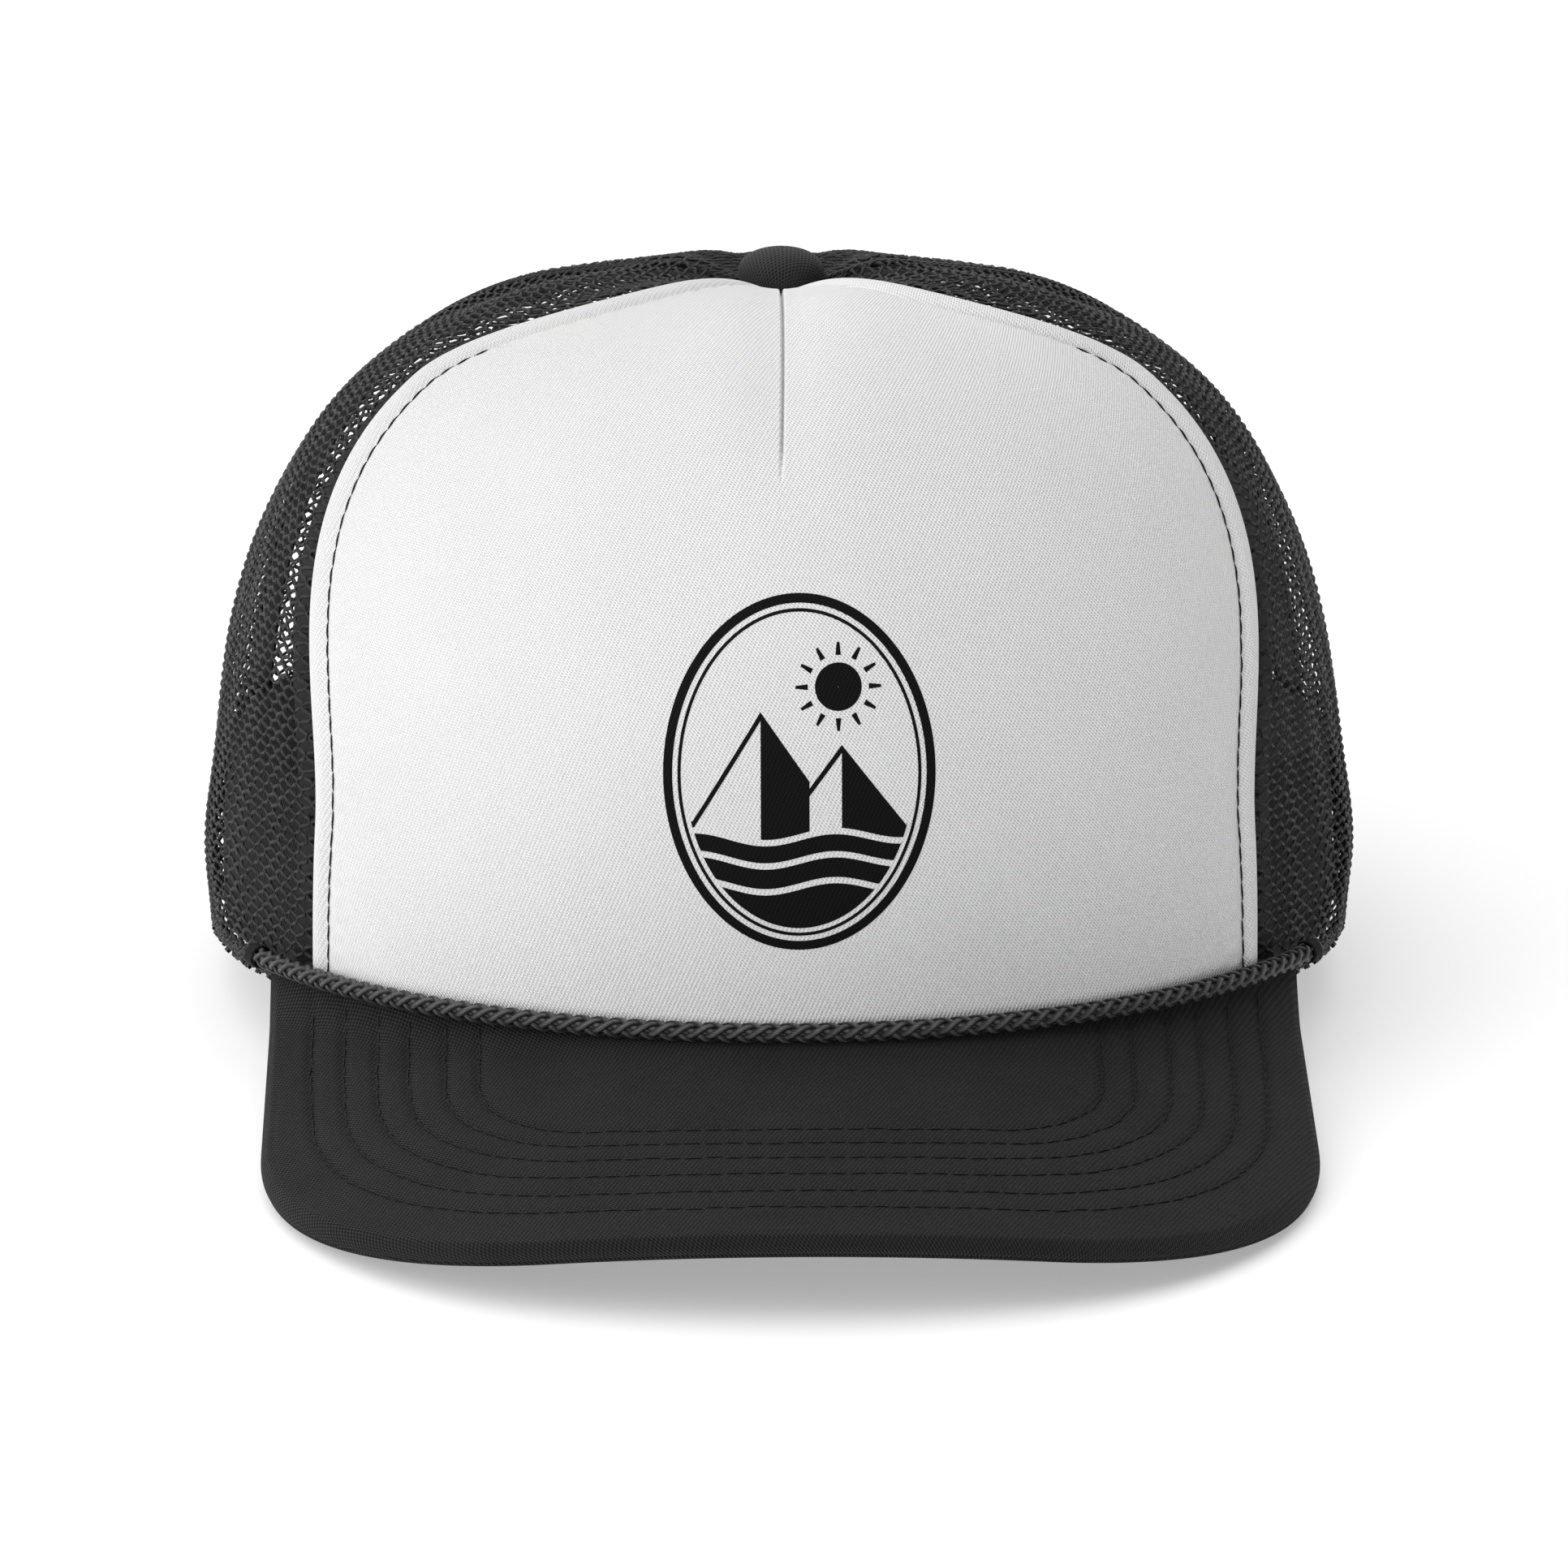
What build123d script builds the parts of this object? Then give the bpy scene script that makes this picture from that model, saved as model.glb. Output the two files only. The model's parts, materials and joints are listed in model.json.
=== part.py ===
"""Trucker mesh cap: foam front panel, four mesh panels, curved visor, snap closure.

Every piece is drawn in the rim frame: the rim lies in the XY plane with its centre at the
origin, the front looks towards -Y and the wearer's up is +Z. The last section stands the
cap on its visor and the rear of its rim.
"""
from build123d import *

import os
from math import asin, atan, cos, exp, hypot, pi, radians, sin, sqrt, tan

# ---- crown -----------------------------------------------------------------------
HALF_WIDTH = 94.0        # rim centre to the outside of the crown, sideways
FRONT_REACH = 102.0      # rim centre to the outside of the crown, forwards
BACK_REACH = 98.0        # rim centre to the outside of the crown, backwards
CROWN_HEIGHT = 111.0     # rim to the top of the crown, without the dimple
DIMPLE_DEPTH = 4.4       # the button pulls the panels down this far at the middle
DIMPLE_REACH = 18.0      # and this far round it
BUTTON_Y = -10.0         # where the panels meet, in front of the rim centre
SIDE_FULLNESS = 2.8      # superellipse exponents of the crown's profiles
FRONT_FULLNESS = 2.6
BACK_FULLNESS = 2.25
RING_RADIUS = 6.0        # the panels end on a ring of this radius under the button

# seams, as azimuths from straight ahead, in degrees
FRONT_SEAM = 54.0        # at the rim
FRONT_SEAM_SWING = 14.0  # it swings back this much on the way up
FRONT_SEAM_RETURN = 28.0 # and forwards again this much over the top
SIDE_SEAM = 108.0
REAR_SEAM = 180.0
SEAM_GAP = 0.3           # between neighbouring panels

# layers, as depths below the crown's outside
MESH_THICKNESS = 0.9
FABRIC_THICKNESS = 0.9
FOAM_DEPTH = 1.0
FOAM_THICKNESS = 3.0
FRONT_TAPE_DEPTH = 4.1
SIDE_TAPE_DEPTH = 1.0
TAPE_WIDTH = 13.0
TAPE_THICKNESS = 0.7
TAPE_TOP_RADIUS = 16.0   # the tapes stop this far from the middle of the crown
TAPE_LOW = 1.0           # lower edge above the rim
BAND_HEIGHT = 32.0
BAND_THICKNESS = 1.8
BAND_LOW = 0.8
BAND_FRONT_DEPTH = 5.0   # behind foam and tapes
BAND_SIDE_DEPTH = 1.9    # behind mesh and tapes
BAND_STEP = (62.0, 84.0) # azimuths between which it steps from one depth to the other
BAND_END = 141.0         # azimuth where the sweatband stops

# ---- opening and snap closure at the back ------------------------------------------
ARCH_HALF_WIDTH = 46.0
ARCH_HEIGHT = 52.0
BINDING_WIDTH = 8.0
BINDING_PROUD = 0.6      # stands this far out of the crown
BINDING_THICKNESS = 2.0
STRAP_HEIGHT = 18.0
STRAP_THICKNESS = 1.0
STRAP_LOW = 1.0          # lower edge above the rim
STRAP_GAP = 0.2          # between the straps' tabs, as depths
SNAP_PITCH = 9.5
HINGE_X = 2.5 * SNAP_PITCH
FREE_END_X = 15.0        # each strap's free end reaches this far past the middle
TAB_JOIN_X = 45.0        # each tab meets the crown's curve here
TAB_END_X = 56.0
TAB_DEPTH = 2.7          # outer face of the hole strap's tab
HINGE_GAP = 0.1
STUD_RADIUS = 1.8
STUD_NECK_RADIUS = 1.5
STUD_NECK_HEIGHT = 1.3
STUD_HEAD_HEIGHT = 0.9
HOLE_RADIUS = 2.35
FREE_END_RADIUS = 6.0

# ---- visor -------------------------------------------------------------------------
VISOR_SLOPE = 14.0       # degrees below the rim plane
VISOR_BEND = 220.0       # radius of its arch
VISOR_REACH = 62.5       # along the slope, at the middle
VISOR_HALF_WIDTH = 82.6
VISOR_FRONT_RADIUS = 180.0
VISOR_CORNER_RADIUS = 57.0
BOARD_THICKNESS = 2.4
COVER_THICKNESS = 0.9
COVER_OVERHANG = 1.2     # the covers reach this far past the board's edge
COVER_CLEARANCE = 0.1
CROWN_CLEARANCE = 0.3    # from the visor's inner edge to the crown

# ---- rope along the visor's seam -----------------------------------------------------
ROPE_DIAMETER = 3.2
ROPE_STANDOFF = 2.2      # centre line outside the crown
ROPE_RISE = 4.2          # centre line above the rim
ROPE_POINTS = 15
ROPE_END_X = 84.0
BARTACK_LENGTH = 3.0
BARTACK_SIZE = 3.8

# ---- top button ----------------------------------------------------------------------
BUTTON_RADIUS = 7.0
BUTTON_RISE = 5.4
BUTTON_HEIGHT = 107.5    # its lower edge above the rim
BUTTON_FABRIC = 0.7
BUTTON_SHELL = 0.6
RIVET_RADIUS = 1.5
RIVET_LENGTH = 9.6
RIVET_HEADROOM = 0.4     # under the shell
WASHER_RADIUS = 5.5
WASHER_THICKNESS = 0.6
WASHER_CLEARANCE = 0.3

# ---- how the cap stands ----------------------------------------------------------------
STAND_ANGLE = 6.10       # raises the front until visor corners and rear rim are level

LEVEL_STEPS = 19
PROFILE_STEPS = 2000
SMALL = 1e-5
FAR = 150.0              # longer than anything it cuts
OUTSIDE_TOL = 0.02       # of the points that the cap's box is taken from

pieces = {}


def finish(name, piece):
    """Labels a finished piece and keeps it for the last section."""
    piece.part.label = name
    pieces[name] = piece.part


# ---- the crown's surface -----------------------------------------------------------------
def width_at(level):
    """Half-width of the crown at this fraction of its height."""
    return HALF_WIDTH * (1 - level**SIDE_FULLNESS) ** (1 / SIDE_FULLNESS)


def side_profile():
    """Levels up the crown's side as far as the ring, with their distance from the rim."""
    profile = [(0.0, 0.0)]
    last = Vector(HALF_WIDTH, 0)
    for i in range(1, PROFILE_STEPS):
        level = sin(pi / 2 * i / PROFILE_STEPS)
        here = Vector(width_at(level), CROWN_HEIGHT * level)
        if here.X < RING_RADIUS:
            break
        profile.append((level, profile[-1][1] + (here - last).length))
        last = here
    return profile


PROFILE = side_profile()
TOP_LEVEL = PROFILE[-1][0]
TAPE_TOP_LEVEL = next(level for level, travelled in PROFILE if width_at(level) < TAPE_TOP_RADIUS)


def blend_pair(value, pair0, pair1):
    """Linear blend of the second entries at a value of the first entries."""
    share = (value - pair0[0]) / (pair1[0] - pair0[0])
    return pair0[1] + (pair1[1] - pair0[1]) * share


def look_up(value, table):
    """Linear look-up in a table of rising pairs."""
    for pair0, pair1 in zip(table, table[1:]):
        if value <= pair1[0]:
            return blend_pair(value, pair0, pair1)
    return table[-1][1]


def levels_between(low, high, steps=LEVEL_STEPS):
    """Levels from low to high, evenly spaced along the crown's side."""
    by_distance = [(travelled, level) for level, travelled in PROFILE]
    start, stop = look_up(low, PROFILE), look_up(high, PROFILE)
    return [
        look_up(start + (stop - start) * i / (steps - 1), by_distance) for i in range(steps)
    ]


def crown_surface(azimuth, level):
    """A point of the crown's outside, at an azimuth in degrees from straight ahead."""
    turn = radians(azimuth)
    ahead = cos(turn) > 0
    fullness = FRONT_FULLNESS if ahead else BACK_FULLNESS
    reach = FRONT_REACH if ahead else BACK_REACH
    length = reach * (1 - level**fullness) ** (1 / fullness)
    x = width_at(level) * sin(turn)
    y = BUTTON_Y * level**3 - length * cos(turn)
    off_button = hypot(x, y - BUTTON_Y)
    dimple = DIMPLE_DEPTH * exp(-((off_button / DIMPLE_REACH) ** 2))
    return Vector(x, y, CROWN_HEIGHT * level - dimple)


def crown_point(azimuth, level, depth):
    """A point this far below the crown's outside, along its normal."""
    base = max(level, 2 * SMALL)
    around = crown_surface(azimuth + 0.1, base) - crown_surface(azimuth - 0.1, base)
    up = crown_surface(azimuth, base + SMALL) - crown_surface(azimuth, base - SMALL)
    return crown_surface(azimuth, level) - around.cross(up).normalized() * depth


def smooth(t):
    """0 below t = 0, 1 above t = 1, and a smooth ramp between."""
    t = min(max(t, 0.0), 1.0)
    return t * t * (3 - 2 * t)


def front_seam(level):
    """Azimuth of the seam between the front panel and the right side mesh."""
    swing = FRONT_SEAM_SWING * smooth((level - 0.25) / 0.62)
    back = max(level - 0.86, 0.0) / 0.14
    return FRONT_SEAM + swing - FRONT_SEAM_RETURN * back**2


def side_seam(level):
    return SIDE_SEAM


def rear_seam(level):
    return REAR_SEAM


def moved(seam, length):
    """The seam moved along the crown by this length, towards the back of the right side."""

    def line(level):
        azimuth = seam(level)
        step = crown_surface(azimuth + 0.5, level) - crown_surface(azimuth - 0.5, level)
        return azimuth + length / step.length

    return line


def opposite(seam):
    """The same seam on the left side."""
    return lambda level: -seam(level)


def sheet(start, end, depth, thickness, levels, columns=15):
    """A sheet of the crown between two seams. The depth may follow the azimuth."""
    depth_at = depth if callable(depth) else lambda azimuth: depth
    grid = []
    for level in levels:
        a, b = start(level), end(level)
        row = [a + (b - a) * i / (columns - 1) for i in range(columns)]
        grid.append([crown_point(azimuth, level, depth_at(azimuth)) for azimuth in row])
    face = Face.make_surface_from_array_of_points(grid, tol=0.05, min_deg=3, max_deg=3)
    return thicken(face, amount=thickness)


# ---- front panel ---------------------------------------------------------------------------
panel_levels = levels_between(0.0, TOP_LEVEL)

with BuildPart() as front_fabric:
    edge = moved(front_seam, -SEAM_GAP / 2)
    sheet(opposite(edge), edge, 0.0, FABRIC_THICKNESS, panel_levels)
finish("front_fabric", front_fabric)

with BuildPart() as front_foam:
    edge = moved(front_seam, -SEAM_GAP / 2)
    sheet(opposite(edge), edge, FOAM_DEPTH, FOAM_THICKNESS, panel_levels)
finish("front_foam", front_foam)


# ---- mesh panels -----------------------------------------------------------------------------
def arch(margin):
    """Solid that spans the opening at the back, grown all round by a margin."""
    with BuildPart() as block:
        with BuildSketch(Plane.XZ.offset(-FAR)):
            Ellipse(ARCH_HALF_WIDTH + margin, ARCH_HEIGHT + margin)
        extrude(amount=FAR)
    return block.part


opening_cut = arch(BINDING_WIDTH + SEAM_GAP)
side_start, side_end = moved(front_seam, SEAM_GAP / 2), moved(side_seam, -SEAM_GAP / 2)
back_start, back_end = moved(side_seam, SEAM_GAP / 2), moved(rear_seam, -SEAM_GAP / 2)

with BuildPart() as right_side_mesh:
    sheet(side_start, side_end, 0.0, MESH_THICKNESS, panel_levels)
finish("right_side_mesh", right_side_mesh)

with BuildPart() as left_side_mesh:
    mirror(right_side_mesh.part, about=Plane.YZ)
finish("left_side_mesh", left_side_mesh)

with BuildPart() as right_back_mesh:
    sheet(back_start, back_end, 0.0, MESH_THICKNESS, panel_levels)
    add(opening_cut, mode=Mode.SUBTRACT)
finish("right_back_mesh", right_back_mesh)

with BuildPart() as left_back_mesh:
    mirror(right_back_mesh.part, about=Plane.YZ)
finish("left_back_mesh", left_back_mesh)

# ---- tapes over the seams, inside --------------------------------------------------------------
tape_levels = levels_between(TAPE_LOW / CROWN_HEIGHT, TAPE_TOP_LEVEL)
half_tape = TAPE_WIDTH / 2

for seam_name, seam, tape_depth in (
    ("front", front_seam, FRONT_TAPE_DEPTH),
    ("side", side_seam, SIDE_TAPE_DEPTH),
):
    with BuildPart() as right_tape:
        sheet(
            moved(seam, -half_tape), moved(seam, half_tape), tape_depth, TAPE_THICKNESS,
            tape_levels, columns=5,
        )
    finish(f"{seam_name}_right_seam_tape", right_tape)

    with BuildPart() as left_tape:
        mirror(right_tape.part, about=Plane.YZ)
    finish(f"{seam_name}_left_seam_tape", left_tape)

rear_tape_low = (ARCH_HEIGHT + BINDING_WIDTH + 1.0) / CROWN_HEIGHT
with BuildPart() as rear_center_seam_tape:
    sheet(
        moved(rear_seam, -half_tape), moved(rear_seam, half_tape), SIDE_TAPE_DEPTH,
        TAPE_THICKNESS, levels_between(rear_tape_low, TAPE_TOP_LEVEL), columns=5,
    )
finish("rear_center_seam_tape", rear_center_seam_tape)


# ---- sweatband ------------------------------------------------------------------------------------
def band_depth(azimuth):
    step = (abs(azimuth) - BAND_STEP[0]) / (BAND_STEP[1] - BAND_STEP[0])
    return BAND_FRONT_DEPTH + (BAND_SIDE_DEPTH - BAND_FRONT_DEPTH) * smooth(step)


band_levels = levels_between(
    BAND_LOW / CROWN_HEIGHT, (BAND_LOW + BAND_HEIGHT) / CROWN_HEIGHT, 5
)
with BuildPart() as sweatband:
    sheet(
        lambda level: -BAND_END, lambda level: BAND_END, band_depth, BAND_THICKNESS,
        band_levels, columns=61,
    )
finish("sweatband", sweatband)

# ---- binding round the opening at the back ----------------------------------------------------------
binding_top = (ARCH_HEIGHT + BINDING_WIDTH + 4.0) / CROWN_HEIGHT
with BuildPart() as rear_binding:
    sheet(
        lambda level: 140.0, lambda level: 220.0, -BINDING_PROUD, BINDING_THICKNESS,
        levels_between(0.0, binding_top, 11),
    )
    add(arch(BINDING_WIDTH), mode=Mode.INTERSECT)
    add(arch(0.0), mode=Mode.SUBTRACT)
finish("rear_binding", rear_binding)


# ---- snap closure -------------------------------------------------------------------------------------
class StrapLine:
    """Middle line of one strap at the back: flat, an arc, then along the crown."""

    def __init__(self, depth):
        self.half_width, self.reach = HALF_WIDTH - depth, BACK_REACH - depth
        join_y = self.crown_y(TAB_JOIN_X)
        turn = atan((self.reach / self.half_width) ** 2 * TAB_JOIN_X / join_y)
        self.radius = (TAB_JOIN_X - HINGE_X) / sin(turn)
        self.turn = turn
        self.flat_y = join_y + self.radius * (1 - cos(turn))

    def crown_y(self, x):
        return self.reach * sqrt(1 - (x / self.half_width) ** 2)

    def tab_path(self):
        """The tab's middle line on the right side, drawn in the current line context."""
        join = (TAB_JOIN_X, self.crown_y(TAB_JOIN_X))
        middle_x = (TAB_JOIN_X + TAB_END_X) / 2
        gap = HINGE_GAP / 2
        Line((HINGE_X + gap, self.flat_y), (HINGE_X + 2 * gap, self.flat_y))
        TangentArc((HINGE_X + 2 * gap, self.flat_y), join, tangent=(1, 0))
        ThreePointArc(join, (middle_x, self.crown_y(middle_x)), (TAB_END_X, self.crown_y(TAB_END_X)))

    def snap_plane(self, number):
        """Plane at a snap on the tab's arc, its normal pointing out of the cap."""
        turn = (number * SNAP_PITCH - HINGE_X) / self.radius
        middle = Vector(
            HINGE_X + self.radius * sin(turn), self.flat_y - self.radius * (1 - cos(turn)),
            STRAP_LOW + STRAP_HEIGHT / 2,
        )
        return Plane(origin=middle, x_dir=(cos(turn), -sin(turn), 0), z_dir=(sin(turn), cos(turn), 0))


hole_line = StrapLine(TAB_DEPTH + STRAP_THICKNESS / 2)
stud_line = StrapLine(TAB_DEPTH + STRAP_THICKNESS * 1.5 + STRAP_GAP)
snap_z = STRAP_LOW + STRAP_HEIGHT / 2
FLAP_SNAPS = (-1, 0, 1, 2)   # snap positions on the flat of each strap, in pitches
TAB_SNAPS = (3, 4)           # and on its tab


def flap(line):
    """The flat of the hole strap, from its hinge on the right to its free end."""
    length = HINGE_X - HINGE_GAP / 2 + FREE_END_X
    with BuildSketch(Plane.XZ.offset(-line.flat_y - STRAP_THICKNESS / 2)) as outline:
        with Locations((HINGE_X - HINGE_GAP / 2 - length / 2, snap_z)):
            Rectangle(length, STRAP_HEIGHT)
        fillet(outline.vertices().group_by(Axis.X)[0], FREE_END_RADIUS)
    extrude(outline.sketch, amount=STRAP_THICKNESS)


def tab(line):
    with BuildLine() as path:
        line.tab_path()
    with BuildSketch(Plane.XY.offset(STRAP_LOW)) as outline:
        trace(path.line, STRAP_THICKNESS)
    extrude(outline.sketch, amount=STRAP_HEIGHT)


def snap_planes(line, numbers):
    """Planes on the strap's middle surface at these snaps, on the right side."""
    flat = [n for n in numbers if n * SNAP_PITCH < HINGE_X]
    planes = [
        Plane(origin=(n * SNAP_PITCH, line.flat_y, snap_z), x_dir=(1, 0, 0), z_dir=(0, 1, 0))
        for n in flat
    ]
    return planes + [line.snap_plane(n) for n in numbers if n not in flat]


def stud(plane):
    """A snap stud on the outer face of the stud strap."""
    face = plane.offset(STRAP_THICKNESS / 2)
    with BuildSketch(face) as neck:
        Circle(STUD_NECK_RADIUS)
    extrude(neck.sketch, amount=STUD_NECK_HEIGHT)
    with BuildSketch(face.offset(STUD_NECK_HEIGHT)) as head:
        Circle(STUD_RADIUS)
    extrude(head.sketch, amount=STUD_HEAD_HEIGHT, taper=12)


with BuildPart() as hole_strap:
    flap(hole_line)
    for place in snap_planes(hole_line, FLAP_SNAPS):
        with Locations(place):
            Hole(HOLE_RADIUS, depth=2 * STRAP_THICKNESS)
finish("hole_strap", hole_strap)

with BuildPart() as hole_strap_tab:
    tab(hole_line)
    for place in snap_planes(hole_line, TAB_SNAPS):
        with Locations(place.offset(STRAP_THICKNESS)):
            Hole(HOLE_RADIUS, depth=2 * STRAP_THICKNESS)
finish("hole_strap_tab", hole_strap_tab)

with BuildPart() as right_stud_strap:
    flap(stud_line)
    for place in snap_planes(stud_line, FLAP_SNAPS):
        stud(place)

with BuildPart() as stud_strap:
    mirror(right_stud_strap.part, about=Plane.YZ)
finish("stud_strap", stud_strap)

with BuildPart() as right_stud_tab:
    tab(stud_line)
    for place in snap_planes(stud_line, TAB_SNAPS):
        stud(place)

with BuildPart() as stud_strap_tab:
    mirror(right_stud_tab.part, about=Plane.YZ)
finish("stud_strap_tab", stud_strap_tab)

# ---- visor ------------------------------------------------------------------------------------------
slope = radians(VISOR_SLOPE)
visor_plane = Plane(
    origin=(0, -FRONT_REACH, 0), x_dir=(1, 0, 0), z_dir=(0, -sin(slope), cos(slope))
)
# looks back along the visor, with its y axis pointing up out of the visor
arch_plane = Plane(
    origin=visor_plane.origin, x_dir=(-1, 0, 0), z_dir=(0, cos(slope), sin(slope))
)


def visor_outline(inset):
    """The visor seen square on, reaching back inside the crown."""
    front = VISOR_FRONT_RADIUS - inset
    with BuildSketch(visor_plane) as outline:
        with Locations((0, VISOR_FRONT_RADIUS - VISOR_REACH)):
            Circle(front)
        with Locations((0, -inset)):
            Rectangle(2 * (VISOR_HALF_WIDTH - inset), FRONT_REACH * 2, mode=Mode.INTERSECT)
        corners = outline.vertices().group_by(Axis.Y)[0]
        fillet(corners, VISOR_CORNER_RADIUS - inset)
    return outline.sketch


def visor_layer(low, high, inset):
    """Layer of the visor between two heights over its mid-surface, clear of the crown."""
    with BuildPart() as layer:
        extrude(visor_outline(inset), amount=FAR / 3, both=True)
        with BuildSketch(arch_plane.offset(-FAR)):
            with Locations((0, -VISOR_BEND)):
                Circle(VISOR_BEND + high)
                Circle(VISOR_BEND + low, mode=Mode.SUBTRACT)
        extrude(amount=2 * FAR, mode=Mode.INTERSECT)
        with BuildSketch(Plane.XY.offset(-FAR / 2)):
            Ellipse(HALF_WIDTH + CROWN_CLEARANCE, FRONT_REACH + CROWN_CLEARANCE)
        extrude(amount=FAR, mode=Mode.SUBTRACT)
    return layer.part


half_board = BOARD_THICKNESS / 2
half_visor = half_board + COVER_CLEARANCE + COVER_THICKNESS
board_room = visor_layer(
    -half_board - COVER_CLEARANCE, half_board + COVER_CLEARANCE, COVER_OVERHANG - COVER_CLEARANCE
)

with BuildPart() as visor_board:
    add(visor_layer(-half_board, half_board, COVER_OVERHANG))
finish("visor_board", visor_board)

with BuildPart() as visor_top_cover:
    add(visor_layer(COVER_CLEARANCE / 2, half_visor, 0.0))
    add(board_room, mode=Mode.SUBTRACT)
finish("visor_top_cover", visor_top_cover)

with BuildPart() as visor_under_cover:
    add(visor_layer(-half_visor, -COVER_CLEARANCE / 2, 0.0))
    add(board_room, mode=Mode.SUBTRACT)
finish("visor_under_cover", visor_under_cover)


# ---- rope along the visor's seam -------------------------------------------------------------------------
def rope_route():
    """Corners of the rope's line, evenly turned round the front of the crown."""
    half_width, reach = HALF_WIDTH + ROPE_STANDOFF, FRONT_REACH + ROPE_STANDOFF
    end = asin(ROPE_END_X / half_width)
    turns = [end * (2 * i / (ROPE_POINTS - 1) - 1) for i in range(ROPE_POINTS)]
    return [Vector(half_width * sin(t), -reach * cos(t), ROPE_RISE) for t in turns]


def corner_radii(route):
    """The largest radius each corner of a route allows, at 0.45 of its shorter run."""
    radii = []
    for before, corner, after in zip(route, route[1:], route[2:]):
        run = min((corner - before).length, (after - corner).length)
        turn = radians((corner - before).get_angle(after - corner))
        radii.append(0.45 * run / tan(turn / 2))
    return radii


route = rope_route()
radii = corner_radii(route)
with BuildPart() as visor_rope:
    with BuildLine():
        rope_line = FilletPolyline(*route, radius=radii)
    with BuildSketch(Plane(origin=rope_line @ 0, z_dir=rope_line % 0)):
        Circle(ROPE_DIAMETER / 2)
    sweep(path=rope_line)
finish("visor_rope", visor_rope)
rope_length = rope_line.length
rope_volume = pi * (ROPE_DIAMETER / 2) ** 2 * rope_length
print("rope length", round(rope_length, 1), "radii", [round(r) for r in radii])
print("rope volume", round(visor_rope.part.volume), "expected", round(rope_volume))

for side, end_point in (("left", 0), ("right", 1)):
    heading = rope_line % end_point * (1 if end_point else -1)
    with BuildPart() as bartack:
        with BuildSketch(Plane(origin=rope_line @ end_point + heading * 0.1, z_dir=heading)):
            RectangleRounded(BARTACK_SIZE, BARTACK_SIZE, BARTACK_SIZE / 3)
        extrude(amount=BARTACK_LENGTH)
    finish(f"rope_bartack_{side}", bartack)


# ---- top button ----------------------------------------------------------------------------------------------
def button_dome(radius, rise):
    """Solid cap of a ball, flat side down."""
    ball = (radius**2 + rise**2) / (2 * rise)
    with BuildPart() as dome:
        with BuildSketch(Plane.XZ):
            with BuildLine():
                Line((0, 0), (radius, 0))
                RadiusArc((radius, 0), (0, rise), -ball)
                Line((0, rise), (0, 0))
            make_face()
        revolve(axis=Axis.Z)
    return dome.part


button_base = Location((0, BUTTON_Y, BUTTON_HEIGHT))
shell_radius = BUTTON_RADIUS - BUTTON_FABRIC
shell_rise = BUTTON_RISE - BUTTON_FABRIC

with BuildPart() as button_cover:
    add(button_base * button_dome(BUTTON_RADIUS, BUTTON_RISE))
    add(button_base * button_dome(shell_radius, shell_rise), mode=Mode.SUBTRACT)
finish("button_cover", button_cover)

with BuildPart() as button_shell:
    add(button_base * button_dome(shell_radius - 0.05, shell_rise - 0.05))
    add(
        button_base * button_dome(shell_radius - BUTTON_SHELL, shell_rise - BUTTON_SHELL),
        mode=Mode.SUBTRACT,
    )
finish("button_shell", button_shell)

rivet_top = BUTTON_HEIGHT + shell_rise - BUTTON_SHELL - RIVET_HEADROOM
with BuildPart() as button_rivet:
    with BuildSketch(Plane(origin=(0, BUTTON_Y, rivet_top))):
        Circle(RIVET_RADIUS)
    extrude(amount=-RIVET_LENGTH)
finish("button_rivet", button_rivet)

washer_top = crown_surface(0, TOP_LEVEL).Z - FOAM_DEPTH - FOAM_THICKNESS - WASHER_CLEARANCE
with BuildPart() as button_washer:
    with BuildSketch(Plane(origin=(0, BUTTON_Y, washer_top))):
        Circle(WASHER_RADIUS)
        Circle(RIVET_RADIUS + 0.05, mode=Mode.SUBTRACT)
    extrude(amount=-WASHER_THICKNESS)
finish("button_washer", button_washer)

# ---- stand the cap up and write it ---------------------------------------------------------------------------
raised = Location((0, 0, 0), (-STAND_ANGLE, 0, 0))
outside = [
    point for piece in pieces.values() for point in piece.moved(raised).tessellate(OUTSIDE_TOL)[0]
]
low = Vector(*(min(getattr(point, axis) for point in outside) for axis in "XYZ"))
high = Vector(*(max(getattr(point, axis) for point in outside) for axis in "XYZ"))
base = Location((-(low.X + high.X) / 2, -(low.Y + high.Y) / 2, -low.Z))
stand = base * raised

os.makedirs("parts", exist_ok=True)
for name, piece in pieces.items():
    placed = piece.moved(stand)
    placed.label = name
    export_step(placed, f"parts/{name}.step")


def in_stand(x, y, z):
    """A point of the rim frame where the standing cap has it, in metres."""
    place = (stand * Location((x, y, z))).position
    return [round(value / 1000, 5) for value in place]


print("size", high - low)
print("rim centre", in_stand(0, 0, 0), "up", in_stand(0, 0, 1000), "stand angle", STAND_ANGLE)
print("hole hinge", in_stand(HINGE_X, hole_line.flat_y + STRAP_THICKNESS / 2, snap_z))
print("stud hinge", in_stand(-HINGE_X, stud_line.flat_y - STRAP_THICKNESS / 2, snap_z))
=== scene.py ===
"""Trucker mesh cap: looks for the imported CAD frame.

Lengths are millimetres in the rim frame (rim in the XY plane, front towards -Y, up +Z) until
Shape.build turns them into metres in the row frame. Azimuths are degrees from straight ahead,
positive to the right. A level is a height over the rim as a share of the crown's height.
"""
import json
import math

import bmesh
import bpy
import numpy as np
from mathutils import Matrix, Vector


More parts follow.
